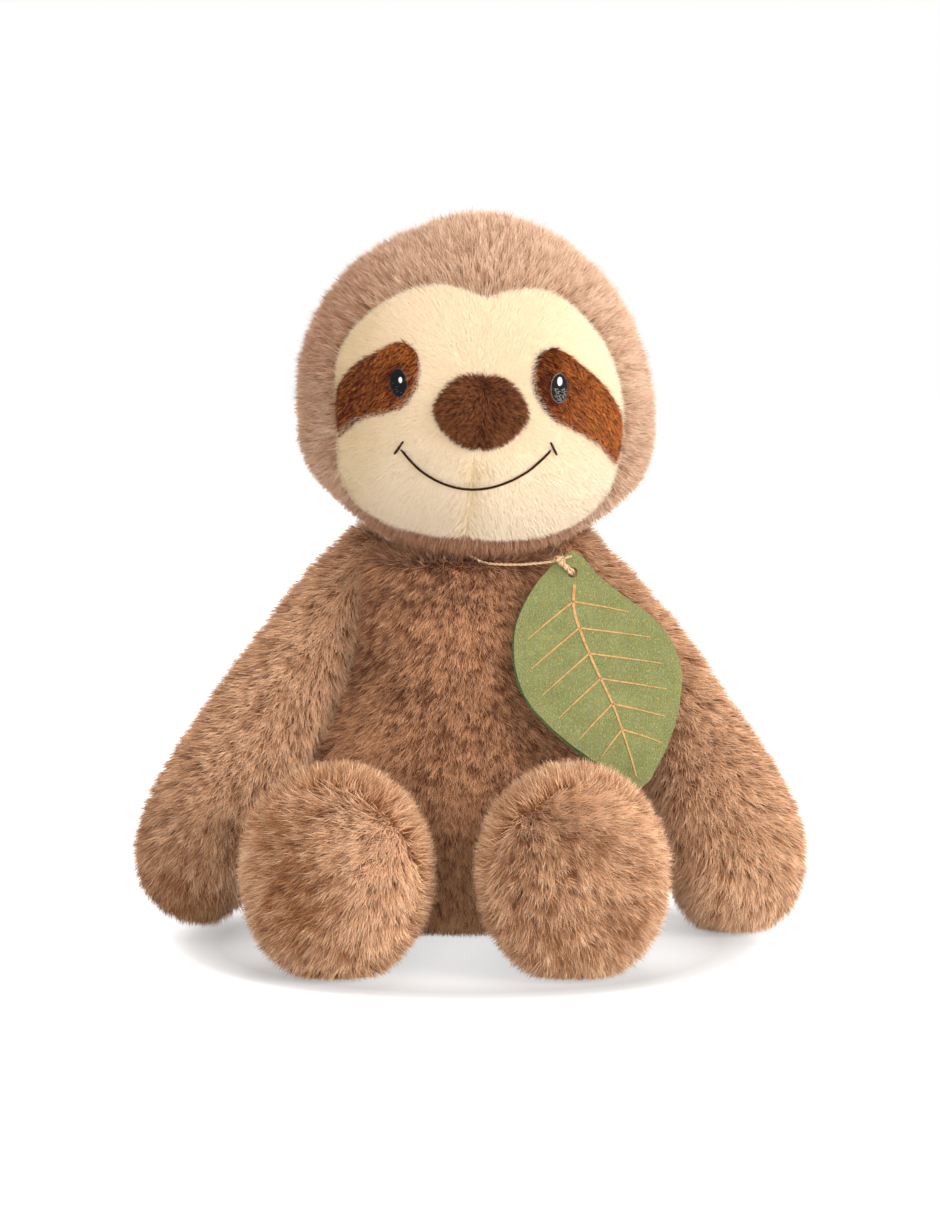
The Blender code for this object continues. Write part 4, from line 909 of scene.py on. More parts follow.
HEAD_CLOTH_DEPTH = 0.0030

head_place = (
    Matrix.Translation(TOY + Vector((
        TORSO_SIDE_OFFSET + HEAD_OFFSET, -HEAD_FORWARD, HEAD_BASE_HEIGHT + HEAD_HEIGHT / 2)))
    @ Matrix.Rotation(HEAD_TURN, 4, "Z") @ Matrix.Rotation(HEAD_ROLL, 4, "Y")
)
head_array = np.array(head_place)


def to_head(points):
    return points @ head_array[:3, :3].T + head_array[:3, 3]


def head_widths(upward, offset):
    cheeks = 1 + CHEEK_SWELL_SHARE * np.exp(-(((upward + 0.25) / 0.4) ** 2))
    crown = 1 - CROWN_TAPER_SHARE * np.maximum(upward, 0) ** 2
    jowl = JOWL_SWELL * np.exp(-(((upward + 0.52) / 0.27) ** 2))
    jowl -= TEMPLE_TAPER * np.exp(-(((upward - 0.10) / 0.25) ** 2))
    width = (HEAD_WIDTH / 2 / (1 + CHEEK_SWELL_SHARE)) * cheeks * crown + jowl + offset
    return width, HEAD_DEPTH / 2 * crown + offset


def head_points(poles, offset):
    """Places on the head's form for unit directions, at a distance off the solid's surface."""
    upward = poles[:, 2]
    width, depth = head_widths(upward, offset)
    height = HEAD_HEIGHT / 2 + offset
    lean = -CROWN_LEAN * np.sin(np.clip(upward, 0, 1) * pi / 2)
    places = np.stack([poles[:, 0] * width + lean, poles[:, 1] * depth, upward * height], axis=1)
    for side, level, reach, amount in HEAD_TRIMS:
        near = np.exp(-(((upward - level) / reach) ** 2))
        places[:, 0] += amount * side * np.maximum(side * poles[:, 0], 0) * near
    places[:, 2] -= CROWN_TRIM * np.exp(-(((poles[:, 0] + 0.45) / 0.22) ** 2)) * np.clip(upward, 0, 1)
    spread = (places[:, 0] / MUZZLE_WIDTH) ** 2 + ((places[:, 2] + MUZZLE_DROP) / MUZZLE_HEIGHT) ** 2
    bulge = MUZZLE_BULGE * np.exp(-spread) * np.clip(-places[:, 1] / (depth / 2), 0, 1)
    places[:, 1] -= bulge
    return places


def face_poles(shares):
    """Unit directions of places on the front of the head, given in shares of the face."""
    across = np.asarray(shares)[:, 0] * FACE_HALF_WIDTH
    up = np.asarray(shares)[:, 1] * FACE_HALF_HEIGHT - FACE_DROP
    upward = up / (HEAD_HEIGHT / 2)
    width, _ = head_widths(upward, 0)
    x = across / width
    return np.stack([x, -np.sqrt(np.maximum(1 - x**2 - upward**2, 1e-4)), upward], axis=1)


def slerp(first, second, share):
    angle = np.arccos(np.clip((first * second).sum(axis=1), -1, 1))[:, None]
    return (np.sin((1 - share) * angle) * first + np.sin(share * angle) * second) / np.sin(angle)


def mirrored(half, steps):
    """A smooth closed outline from the places of its right half."""
    return smooth_line([*half, *((-x, z) for x, z in reversed(half[1:-1]))], steps, True)


HEAD_RINGS = 58
FACE_BED_DEPTH = 0.0065
HEAD_PILE = {
    "Pile length": 0.0062, "Fibre width": 0.00028, "Stand": 1.35, "Tuft size": 0.0030, "Tuft pull": 0.8,
    "Tuft shade": 0.35, "Swirl": 0.35, "Swirl size": 0.009, "Stray": 0.35, "Mottle": 2.2, "Mottle size": 0.0038,
    "Tone spread": 0.7}

# Rings from the middle of the face to its edge, and over the head to the middle of its back
edge = face_poles(mirrored(FACE_OUTLINE_SHARES, 6))
count = len(edge)
front = face_poles(np.array([(0.0, -0.02)]))
front_many = np.repeat(front, count, axis=0)
back = np.tile((0.0, 1.0, 0.0), (count, 1))
rings = []
for share, depth in ((0.3, FACE_BED_DEPTH), (0.7, FACE_BED_DEPTH), (0.93, 0.0062), (0.985, 0.0058)):
    rings.append(to_head(head_points(slerp(front_many, edge, share), -depth)))
bed_rings = len(rings)
for step in range(HEAD_RINGS):
    share = (step / HEAD_RINGS) ** 1.15
    depth = HEAD_CLOTH_DEPTH + 0.0022 * exp(-share * 0.16 / 0.006)
    rings.append(to_head(head_points(slerp(edge, back, share), -depth)))
first = to_head(head_points(front, -FACE_BED_DEPTH))[0]
last = to_head(head_points(back[:1], -HEAD_CLOTH_DEPTH))[0]
backing = plush_backing("head_knit_backing", "#6C4833", "#A07A60")
skin = closed_skin("head_cloth", rings, first, last, backing)
places, normals = skin_arrays(skin)

# Combed away from the face, falling at the back
rings = np.array(rings)
away = np.roll(rings, -1, axis=0) - rings
away[-1] = away[-2]
away = np.vstack([away.reshape(-1, 3), [(0, 0, 0.1)], [(0, 0, 0.1)]])
local = (places - head_array[:3, 3]) @ head_array[:3, :3]
fall = 1.8 * soft_step(local[:, 1], -0.015, 0.035)
comb = in_surface(in_surface(away, normals) + fall[:, None] * np.array((0.0, 0.0, -1.0)), normals)
grows = np.concatenate([np.zeros(bed_rings * count), np.ones(HEAD_RINGS * count), [0.0, 1.0]])
from_neck = np.linalg.norm(places[:, :2] - np.array(NECK_PLACE)[:2], axis=1)
low = (1 - soft_step(from_neck, 0.020, 0.026)) * (places[:, 2] < 0.19)
cover = grows * (1 - 0.9 * low)
# Painted shade: the upper left of the head darker, away from the key lamp on the right, and the underside darker
# under the chin; the right side is a little darker too
painted_shade_left = np.exp(-(((local[:, 0] + 0.055) / 0.022) ** 2 + ((local[:, 2] - 0.022) / 0.04) ** 2)) * (local[:,
                                                                                                      1] < 0.02)
shade = 0.74 - 0.42 * painted_shade_left - 0.95 * soft_step(-local[:, 2], 0.040, 0.062)
shade -= 0.14 * soft_step(local[:, 0], 0.040, 0.065)
comb_skin(skin, comb, cover, 1.0, shade)
fix(skin, "head", "taupe_plush", "head_skin", "head_stuffing", fill=0.9)
pile = dyed_pile("taupe_plush_pile", ("#663A22", "#9C6A4C", "#C49070"), ("#98745A", "#D4B090", "#FADFC6"))
in_front = local[:, 1] < -0.002
for name, part, density, seed in (("head_front_pile", in_front, 4.8e6, 50),
                                  ("head_back_pile", ~in_front, 3.2e6, 51)):
    comb_skin(skin, comb, cover * part, 1.0, shade)
    grow_pile(name, skin, "head", "taupe_plush", pile, {
        "Fibres per square metre": density, "Seed": seed, **HEAD_PILE})


# Face: a panel of cream short-pile plush sewn into the head, sunk at its edge, with a
# soft muzzle that a vertical seam divides below the nose. The nap lies away from the nose.
FACE_CLOTH_DEPTH = 0.0011
# Outlines and lines on the face, in shares of its half width and half height
PATCH_OUTLINE_SHARES = {
    "left": ((0.535, 0.49), (0.450, 0.42), (0.425, 0.29), (0.450, 0.13), (0.535, 0.0), (0.655, -0.06),
             (0.815, -0.12), (0.915, -0.20), (0.985, -0.28), (1.012, -0.12), (1.000, 0.05), (0.93, 0.20),
             (0.815, 0.325), (0.695, 0.415), (0.605, 0.475)),
    "right": ((0.470, 0.515), (0.368, 0.45), (0.336, 0.31), (0.366, 0.14), (0.475, 0.0), (0.60, -0.075),
              (0.77, -0.16), (0.89, -0.26), (0.975, -0.35), (1.012, -0.17), (0.990, 0.02), (0.91, 0.18),
              (0.79, 0.315), (0.66, 0.42), (0.56, 0.49)),
}
NOSE_OUTLINE_SHARES = (
    (0.0, 0.27), (0.14, 0.255), (0.242, 0.165), (0.312, 0.02), (0.262, -0.11), (0.15, -0.215), (0.0, -0.265),
)
MOUTH_LINE_SHARES = ((0.0, -0.585), (0.12, -0.57), (0.24, -0.525), (0.36, -0.45), (0.45, -0.365),
                     (0.512, -0.295))
MOUTH_OFFSET_SHARE = -0.020
MOUTH_TURN_SHARE = 0.07
MOUTH_FURROW = 0.0009
MUZZLE_SEAM_X = -0.0018
FACE_SCALE = np.array((FACE_HALF_WIDTH, FACE_HALF_HEIGHT))
FACE_EDGE = mirrored(FACE_OUTLINE_SHARES, 10)
NOSE_EDGE = mirrored(NOSE_OUTLINE_SHARES, 6)
PATCH_EDGES = {
    word: smooth_line([(side * x, z) for x, z in PATCH_OUTLINE_SHARES[word]], 5, True)
    for word, side in (("left", -1), ("right", 1))}
mouth_half = [(-x, z) for x, z in reversed(MOUTH_LINE_SHARES[1:])]
MOUTH_LINE = FACE_SCALE * smooth_line(
    [(x + MOUTH_OFFSET_SHARE, z + MOUTH_TURN_SHARE * x) for x, z in [*mouth_half, *MOUTH_LINE_SHARES]], 6)


def distance_to_line(points, line, closed=False):
    """How far each flat place is from a line, all in metres."""
    starts = line if closed else line[:-1]
    ends = np.roll(line, -1, axis=0) if closed else line[1:]
    span = ends - starts
    away = points[:, None] - starts[None]
    share = np.clip((away * span).sum(axis=2) / np.maximum((span**2).sum(axis=1), 1e-12), 0, 1)
    return np.linalg.norm(away - share[:, :, None] * span, axis=2).min(axis=1)


def inside_line(points, line):
    ends = np.roll(line, -1, axis=0)
    crossed = np.zeros(len(points), bool)
    for (x0, z0), (x1, z1) in zip(line, ends):
        if z0 == z1:
            continue
        level = (points[:, 1] > z0) != (points[:, 1] > z1)
        crossed ^= level & (points[:, 0] < (x1 - x0) * (points[:, 1] - z0) / (z1 - z0) + x0)
    return crossed


def signed_distance(points, outline):
    """Distance from an outline in shares of the face: positive outside it."""
    line = outline * FACE_SCALE
    return distance_to_line(points, line, True) * np.where(inside_line(points, line), -1, 1)


def head_points_each(poles, offsets):
    """Places on the head's form at a different distance off it for each direction."""
    plain = head_points(poles, 0.0)
    out = head_points(poles, 0.0005) - plain
    out /= np.linalg.norm(out, axis=1)[:, None]
    return plain + out * np.asarray(offsets)[:, None]


def head_direction(flat_across, flat_up, ahead=0.0):
    """Directions in the face's plane as directions in the room."""
    rows = np.stack([flat_across, np.full_like(flat_across, -ahead), flat_up], axis=1)
    return rows @ head_array[:3, :3].T


def face_sheet(name, outline, centre, rows, level, material, thickness, edge, drop):
    """A sewn-on piece of the face: rings from its centre to its edge, rolled down at the
    edge and closed behind. level gives its height off the solid for flat places."""
    edge_poles = face_poles(outline)
    middle = face_poles(np.array([centre]))
    middles = np.repeat(middle, len(edge_poles), axis=0)
    size = np.linalg.norm((outline - np.array(centre)) * FACE_SCALE, axis=1).mean()
    rings, flats = [], []
    for share, behind in [*(((row / rows) ** 0.85, False) for row in range(1, rows + 1)),
                          (0.985, True), (0.9, True), (0.5, True)]:
        poles = slerp(middles, edge_poles, share)
        flat = head_points(poles, 0)[:, [0, 2]] + np.array((0, FACE_DROP))
        rolled = drop * np.clip(1 - (1 - share) * size / edge, 0, 1) ** 2
        rings.append(to_head(head_points_each(poles, level(flat) - (drop + thickness if behind else rolled))))
        flats.append(flat)
    centre_flat = np.array([centre]) * FACE_SCALE
    first = to_head(head_points_each(middle, level(centre_flat)))[0]
    last = to_head(head_points_each(middle, level(centre_flat) - drop - thickness))[0]
    skin = closed_skin(name, rings, first, last, material)
    front = np.concatenate([np.ones(rows * len(outline)), np.zeros(3 * len(outline)), [1, 0]])
    return skin, np.vstack(flats + [centre_flat, centre_flat]), front


def face_level(flat):
    """How deep the face's cloth lies: lower in the muzzle's seam and along the mouth."""
    seam = np.exp(-(((flat[:, 0] - MUZZLE_SEAM_X) / 0.0016) ** 2)) * soft_step(-flat[:, 1], 0.016, 0.024)
    furrow = np.exp(-((distance_to_line(flat, MOUTH_LINE) / 0.0016) ** 2))
    return -FACE_CLOTH_DEPTH - 0.0007 * seam - 0.0006 * furrow


cloth = plush_backing("cream_knit_backing", "#E6CC9C", "#F2DFB8")
skin, flats, front = face_sheet("face_cloth", FACE_EDGE, (0.0, -0.05), 60, face_level, cloth, 0.0012, 0.0042,
                                0.0034)
places, normals = skin_arrays(skin)
from_seam = flats[:, 0] - MUZZLE_SEAM_X
lean_x = flats[:, 0] * 26
lean_x += 1.4 * np.sign(from_seam) * np.exp(-((from_seam / 0.007) ** 2)) * soft_step(-flats[:, 1], 0.014,
                                                                                     0.024)
lean_z = (flats[:, 1] + 0.004) * 20 - 0.15
comb = in_surface(head_direction(lean_x, lean_z), normals)

# No nap under the patches and nose, nor in the mouth's furrow
cover = front.copy()
for patch_edge in PATCH_EDGES.values():
    cover *= soft_step(signed_distance(flats, patch_edge), -0.0006, 0.0002)
cover *= soft_step(signed_distance(flats, NOSE_EDGE), -0.0016, -0.0006)
cover *= soft_step(distance_to_line(flats, MOUTH_LINE), 0.0003, MOUTH_FURROW)
# Painted light and shade: the lower face lighter, as if lit from the floor below, painted shade along the muzzle's
# seam, and the left side darker, away from the key lamp
shade = 0.80 + 0.20 * soft_step(-flats[:, 1], 0.004, 0.034)
shade -= 0.25 * np.exp(-((from_seam / 0.004) ** 2)) * soft_step(-flats[:, 1], 0.016, 0.026)
shade -= 0.6 * soft_step(-flats[:, 0], 0.030, 0.052)
length = 1.0 + 0.7 * soft_step(signed_distance(flats, FACE_EDGE), -0.0045, -0.0005)
comb_skin(skin, comb, cover, length, shade)
fix(skin, "head", "cream_plush", "face_panel")
pile = dyed_pile("cream_plush_pile", ("#E0C592", "#E8D2A6", "#EEDDBA"), ("#F4E0BC", "#F8E8CE", "#FCF1E0"),
                 0.8, 0.10)
grow_pile("face_pile", skin, "head", "cream_plush", pile, {
    "Fibre": NAP_FIBRE, "Fibres per square metre": 1.0e7, "Pile length": 0.0021, "Fibre width": 0.00022,
    "Stand": 1.4, "Seed": 60, "Tuft size": 0.0018, "Tuft pull": 0.10, "Swirl size": 0.009, "Swirl": 0.12,
    "Mottle": 0.4, "Mottle size": 0.006, "Tone spread": 0.3, "Stray": 0.22})


# Eye patches: rust-brown sheared plush, cut to shape and sewn into the face panel, so
# that cream nap falls over their edges. The nap runs down and outward; its glints are
# painted highlights, single fibres dyed bright by its wide spread of tone.
PATCH_LEVEL = -0.0006
EYE_PLACES = {"left": np.array((-0.556, 0.175)), "right": np.array((0.520, 0.215))}
PATCH_PILE = {
    "Fibre": NAP_FIBRE, "Fibres per square metre": 1.1e7, "Pile length": 0.0022, "Fibre width": 0.00030,
    "Stand": 0.8, "Tuft size": 0.0012, "Tuft pull": 0.3, "Swirl size": 0.004, "Swirl": 0.35, "Mottle": 2.6,
    "Mottle size": 0.0020, "Tone spread": 3.0, "Stray": 0.4}


def patch_level(flat):
    return np.full(len(flat), PATCH_LEVEL)


cloth = plush_backing("rust_knit_backing", "#3A1C0C", "#5E3115")
pile = dyed_pile("rust_velvet_pile", ("#200802", "#441404", "#642208"), ("#7A2E0A", "#C46020", "#FFB45C"),
                 0.5, 0.0)

# Each patch's side, its shade, how wide it darkens round the eye, and how much lighter it is outward
for word, side, plain, reach, outer in (("left", -1, 0.38, 0.0085, -0.70), ("right", 1, 0.50, 0.0120, 0.16)):
    patch = "eye_patch_" + word
    skin, flats, front = face_sheet(patch + "_cloth", PATCH_EDGES[word], (side * 0.68, 0.13), 26, patch_level,
                                    cloth, 0.0006, 0.0012, 0.0010)
    places, normals = skin_arrays(skin)
    to_eye = np.linalg.norm((flats - EYE_PLACES[word] * FACE_SCALE) / np.array((0.8, 1.15)), axis=1)
    comb = in_surface(head_direction(np.full(len(flats), side * 0.55), np.full(len(flats), -0.8)), normals)
    shade = plain - 0.60 * np.exp(-((to_eye / reach) ** 2))
    shade += outer * soft_step(np.abs(flats[:, 0]), 0.030, 0.050)
    if side > 0:
        shade -= 0.80 * soft_step(-flats[:, 0], -0.0330, -0.0250)
    shade += 0.20 * soft_step(flats[:, 1], 0.014, 0.022)
    comb_skin(skin, comb, front * soft_step(to_eye, 0.0030, 0.0036), 1.0, shade)
    fix(skin, "head", "rust_velvet", patch)
    grow_pile(patch + "_pile", skin, "head", "rust_velvet", pile, {**PATCH_PILE, "Seed": 70 + side})


# Nose: a padded oval of short dark brown plush, sewn down round its edge and pinched
# by one upright stitch line in its lower half.
NOSE_RISE = 0.0042
NOSE_CREASE = 0.0011


def nose_level(flat):
    """How far the nose stands off the face: padded inside its edge, pinched by its crease."""
    inward = np.clip(-signed_distance(flat, NOSE_EDGE) / 0.0115, 0, 1)
    swell = NOSE_RISE * np.sqrt(np.maximum(1 - (1 - inward) ** 2, 0))
    crease = np.exp(-((flat[:, 0] / 0.0012) ** 2)) * soft_step(-flat[:, 1], 0.002, 0.009)
    return -0.0012 + swell - NOSE_CREASE * crease


cloth = plush_backing("nose_knit_backing", "#2B150C", "#4A2A1C")
skin, flats, front = face_sheet("nose_cloth", NOSE_EDGE, (0.0, 0.0), 24, nose_level, cloth, 0.0006, 0.0010,
                                0.0006)
places, normals = skin_arrays(skin)
below = soft_step(-flats[:, 1], 0.0, 0.007)
parting = np.sign(flats[:, 0]) * np.exp(-((flats[:, 0] / 0.006) ** 2)) * 0.9 * below
comb = in_surface(head_direction(flats[:, 0] * 40 + parting, flats[:, 1] * 30 - 0.35), normals)
# Painted shade darkens the pile along the crease in its lower half
shade = 0.62 - 0.62 * np.exp(-((flats[:, 0] / 0.0014) ** 2)) * below
comb_skin(skin, comb, front, 1.0, shade)
fix(skin, "head", "dark_plush", "nose", fill=0.9)
pile = dyed_pile("dark_plush_pile", ("#32180D", "#4E2814", "#66391E"), ("#4C2814", "#80492A", "#AC7044"),
                 0.75, 0.0)
grow_pile("nose_pile", skin, "head", "dark_plush", pile, {
    "Fibre": NAP_FIBRE, "Fibres per square metre": 1.2e7, "Pile length": 0.0024, "Fibre width": 0.00030,
    "Stand": 1.0, "Seed": 80, "Tuft size": 0.0016, "Tuft pull": 0.8, "Tuft shade": 0.9, "Swirl size": 0.006,
    "Swirl": 0.30, "Mottle": 3.0, "Mottle size": 0.0022, "Tone spread": 2.4, "Stray": 0.3})


# Embroidery: rayon thread laid in rows of satin stitch for the eyes and their white
# glints, a pale outline round each eye, and a line of slanted stitches for the mouth.
THREAD_WIDTH = 0.00030
EYE_WIDTH = 0.0064
EYE_HEIGHT = 0.0108
EYE_LEVEL = 0.0010
EYE_SWELL = 0.0008
EYE_FLECKS = {"left": 14, "right": 60}
EYE_FLECK_LENGTH = 0.0006
EYE_FLECK_SEED = 5
# Places of the glints from the middle of each eye, and their half sizes
GLINTS = {"left": ((0.0011, 0.0012), (0.00075, 0.0011)), "right": ((-0.0004, 0.0025), (0.00105, 0.0016))}
MOUTH_STITCH = 0.0026
MOUTH_STITCH_STEP = 0.0011
MOUTH_STITCH_WIDTH = 0.00095
MOUTH_STITCH_SLANT = radians(16)
MOUTH_CORNER_SHARES = ((0.510, -0.225), (0.560, -0.325))
def embroidery_thread(name, code, dark_code, roughness=0.45, shine=0.35):
    """Rayon embroidery thread: smooth, with a soft lengthwise shine and a darker twist."""
    twist = {"Scale": 1 / 0.0006, "Detail": 2.0}
    return grained(name, twist, ((0.35, dark_code), (0.62, code)), roughness, shine, (0.35, 0.0002))


def make_stitch():
    """One stitch: a plump strand one long, one wide, with tapered ends."""
    corners = [(x, radius * cos(a), radius * sin(a))
               for x, radius in ((-0.46, 0.26), (-0.34, 0.42), (0.0, 0.5), (0.34, 0.42), (0.46, 0.26))
               for a in 2 * pi * np.arange(6) / 6]
    corners += [(-0.5, 0, 0), (0.5, 0, 0)]
    return bpy.data.objects.new("stitch", make_mesh("stitch", corners, ring_faces(5, 6)))


def stitch_tree():
    """Lays one stitch on each point, along its run, standing off the cloth by its normal."""
    tree, given = node_group("sewn_stitches", (
        ("Places", "Geometry"), ("Stitch", "Object"), ("Thread", "Material"), ("Thread width",
                                                                               "Float")), "Stitches")
    run, out = (
        add_node(tree, "GeometryNodeInputNamedAttribute", {"Name": name},
                 data_type="FLOAT_VECTOR").outputs["Attribute"]
        for name in ("run", "out"))
    turn = add_node(tree, ALIGN, {"Vector": run}, axis="X").outputs[0]
    turn = {"Rotation": turn, "Vector": out}
    turn = add_node(tree, ALIGN, turn, axis="Z", pivot_axis="X").outputs[0]
    long = add_node(tree, VECTOR_MATHS, {0: run}, operation="LENGTH").outputs["Value"]
    size = {"X": long, "Y": given["Thread width"], "Z": given["Thread width"]}
    size = add_node(tree, COMBINE, size).outputs[0]
    points = add_node(tree, "GeometryNodeMeshToPoints", {"Mesh": given["Places"]}).outputs[0]
    stitch = {"As Instance": True, "Object": given["Stitch"]}
    stitch = add_node(tree, "GeometryNodeObjectInfo", stitch).outputs["Geometry"]
    laid = {"Points": points, "Instance": stitch, "Rotation": turn, "Scale": size}
    laid = add_node(tree, "GeometryNodeInstanceOnPoints", laid).outputs[0]
    laid = add_node(tree, "GeometryNodeRealizeInstances", {"Geometry": laid}).outputs[0]
    done = add_node(tree, "GeometryNodeSetMaterial",
                    {"Geometry": laid, "Material": given["Thread"]}).outputs[0]
    add_node(tree, "NodeGroupOutput", {"Stitches": done})
    return tree


STITCH = make_stitch()
STITCH_TREE = stitch_tree()


def sew(name, stitches, width, thread, *nodes, slot="embroidery_thread"):
    """Sews a stitch at each place and leaves them as one plain mesh on the head."""
    places, runs, outs = stitches
    host = bpy.data.objects.new(name + "_places", make_mesh(name + "_places", places, []))
    set_numbers(host, "run", "FLOAT_VECTOR", runs)
    set_numbers(host, "out", "FLOAT_VECTOR", outs)
    piece = worked(name, host.data, STITCH_TREE, {"Stitch": STITCH, "Thread": thread, "Thread width": width})
    bpy.data.objects.remove(host)
    fix(piece, "head", slot, *nodes)


def on_face(flats, offsets):
    """Places and outward directions on the head for flat places on the face, in metres."""
    poles = face_poles(np.asarray(flats) / FACE_SCALE)
    places = to_head(head_points_each(poles, offsets))
    outs = head_points(poles, 0.0005) - head_points(poles, 0)
    outs = outs @ head_array[:3, :3].T
    return places, outs / np.linalg.norm(outs, axis=1)[:, None]


def stitches_between(starts, ends, low, high):
    """Stitches from flat places to others: their middles, their runs and which way is out."""
    a, outs = on_face(starts, np.broadcast_to(low, len(starts)))
    b, _ = on_face(ends, np.broadcast_to(high, len(ends)))
    return (a + b) / 2, b - a, outs


def satin_rows(middle, half_width, half_height, level, swell, gap, wobble):
    """Rows of satin stitch that fill an upright oval, with ends that wander a little."""
    count = int(2 * half_height / gap)
    heights = (np.arange(count) + 0.5) / count * 2 - 1
    reach = half_width * np.sqrt(1 - heights**2)
    wander = wobble * np.sin(np.arange(count) * 2.4)
    lefts = np.stack([middle[0] - reach - wander, middle[1] + heights * half_height], axis=1)
    rights = np.stack([middle[0] + reach - wander, middle[1] + heights * half_height + gap * 0.3], axis=1)
    offsets = level + swell * np.sqrt(1 - heights**2)
    places, runs, outs = stitches_between(lefts, rights, offsets, offsets)
    return places + outs * swell * 0.3, runs, outs


dark = embroidery_thread("dark_embroidery_thread", "#1A1A20", "#060608", 0.5, 0.12)
white = embroidery_thread("white_embroidery_thread", "#FFFFFF", "#DADDE4", 0.45)
slate = embroidery_thread("slate_embroidery_thread", "#77747A", "#3C3A40", 0.5, 0.1)
grey = embroidery_thread("grey_embroidery_thread", "#A9A49F", "#6E6863", 0.40)
brown = embroidery_thread("mouth_embroidery_thread", "#3A1C14", "#1E0D09", 0.6, 0.1)
EYE_HALF_SIZE = np.array((EYE_WIDTH, EYE_HEIGHT)) / 2
SATIN_GAP = THREAD_WIDTH * 0.72
OUTLINE_STITCHES = 40
for word, edging in (("left", slate), ("right", grey)):
    middle = EYE_PLACES[word] * FACE_SCALE
    rows = satin_rows(middle, *EYE_HALF_SIZE, EYE_LEVEL, EYE_SWELL, SATIN_GAP, 0.0001)
    sew("eye_" + word + "_satin", rows, THREAD_WIDTH, dark, "eye_" + word)
    spot, half_size = GLINTS[word]
    rows = satin_rows(middle + np.array(spot), *half_size, EYE_LEVEL + EYE_SWELL + 0.0003, 0.0002, SATIN_GAP,
                      0.0)
    sew("eye_glint_" + word, rows, THREAD_WIDTH, white, "eye_highlight_" + word, slot="white_thread")

    # Pale flecks in the lower half of the eye
    rng = np.random.default_rng(EYE_FLECK_SEED)
    angles = rng.uniform(pi, 2 * pi, EYE_FLECKS[word])
    reach = np.sqrt(rng.uniform(0.05, 0.8, EYE_FLECKS[word]))
    flats = middle + np.stack([np.cos(angles) * reach, np.sin(angles) * reach], axis=1) * EYE_HALF_SIZE
    half = np.array((EYE_FLECK_LENGTH / 2, 0.00004))
    lifts = EYE_LEVEL + EYE_SWELL * (np.sqrt(1 - reach**2) + 0.3) + THREAD_WIDTH * 0.75
    flecks = stitches_between(flats - half, flats + half, lifts, lifts)
    sew("eye_flecks_" + word, flecks, THREAD_WIDTH * 0.75, edging)

    # One round of thread at its edge
    turns = np.linspace(0, 2 * pi, OUTLINE_STITCHES, endpoint=False)
    ring = middle + np.stack([np.cos(turns), np.sin(turns)], axis=1) * (EYE_HALF_SIZE + 0.0001)
    places, outs = on_face(ring, np.full(OUTLINE_STITCHES, EYE_LEVEL + 0.0002))
    runs = (np.roll(places, -1, axis=0) - np.roll(places, 1, axis=0)) * 0.75
    sew("eye_outline_" + word, (places, runs, outs), THREAD_WIDTH * 0.8, edging)

# The mouth: slanted stitches along its line, and three at each corner
along = runs_along(MOUTH_LINE)
spots = np.arange(MOUTH_STITCH_STEP / 2, along[-1], MOUTH_STITCH_STEP)
flats = np.stack([np.interp(spots, along, MOUTH_LINE[:, k]) for k in (0, 1)], axis=1)
heading = np.gradient(flats, axis=0)
angle = np.arctan2(heading[:, 1], heading[:, 0]) + MOUTH_STITCH_SLANT
half = np.stack([np.cos(angle), np.sin(angle)], axis=1) * MOUTH_STITCH / 2
stitches = stitches_between(flats - half, flats + half, -0.0002, 0.0002)
sew("mouth_stitches", stitches, MOUTH_STITCH_WIDTH, brown, "mouth")
for word, side in (("left", -1), ("right", 1)):
    first, last = (np.array((side * x + MOUTH_OFFSET_SHARE, z + side * x * MOUTH_TURN_SHARE)) * FACE_SCALE
                   for x, z in MOUTH_CORNER_SHARES)
    flats = np.array([first * (1 - t) + last * t for t in (0.22, 0.5, 0.78)])
    half = (last - first) * 0.24
    stitches = stitches_between(flats - half, flats + half, -0.0001, 0.0002)
    sew("mouth_corner_" + word + "_stitches", stitches, MOUTH_STITCH_WIDTH * 1.1, brown,
        "mouth_corner_" + word)


# Seam rings: turned-in woven lining at the neck, shoulders and hips, hidden by pile.
# They keep their solids and have a plain weave with a little fuzz on it.
woven = bpy.data.materials.new("woven_seam_cloth")
woven.use_nodes = True
tree = woven.node_tree
place = add_node(tree, "ShaderNodeTexCoord").outputs["Object"]
weave = {"Scale": 1 / 0.0006, "Color1": linear("#5A4030"), "Color2": linear("#6E5040"), "Vector": place}
weave = add_node(tree, "ShaderNodeTexChecker", weave).outputs
fuzz = add_node(tree, NOISE, {"Scale": 1 / 0.0011, "Detail": 3.0, "Vector": place}).outputs["Fac"]
shaded = {0: 0.4, 6: weave["Color"], 7: fuzz}
shaded = add_node(tree, "ShaderNodeMix", shaded, data_type="RGBA", blend_type="MULTIPLY").outputs[2]
relief = add_node(tree, "ShaderNodeBump",
                  {"Strength": 0.5, "Distance": 0.0002, "Height": weave["Fac"]}).outputs[0]
give(tree.nodes["Principled BSDF"], {"Base Color": shaded, "Normal": relief, "Roughness": 0.9})


def finish_node(node, material):
    """Gives a solid of the frame its material."""
    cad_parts[node].data.materials.clear()
    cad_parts[node].data.materials.append(material)


for node in ("neck_seam", "shoulder_seam_left", "shoulder_seam_right", "hip_seam_left", "hip_seam_right"):
    finish_node(node, woven)


# Hang tag: two leaf-shaped cards of green recycled board, matt and flecked with other
# paper fibre, the front one printed with a kraft-coloured midrib and side veins.
MIDRIB_SHARES = ((-0.032, 0.135), (-0.062, 0.25), (-0.045, 0.45), (-0.012, 0.65), (0.0, 0.85), (0.0, 0.945))
SIDE_VEINS = ((0.20, 0.30), (0.31, 0.42), (0.42, 0.535), (0.53, 0.64), (0.64, 0.745), (0.75, 0.84))
VEIN_REACH_SHARE = 0.80
VEIN_WIDTH = 0.00095
VEIN_THICKNESS = 0.00006
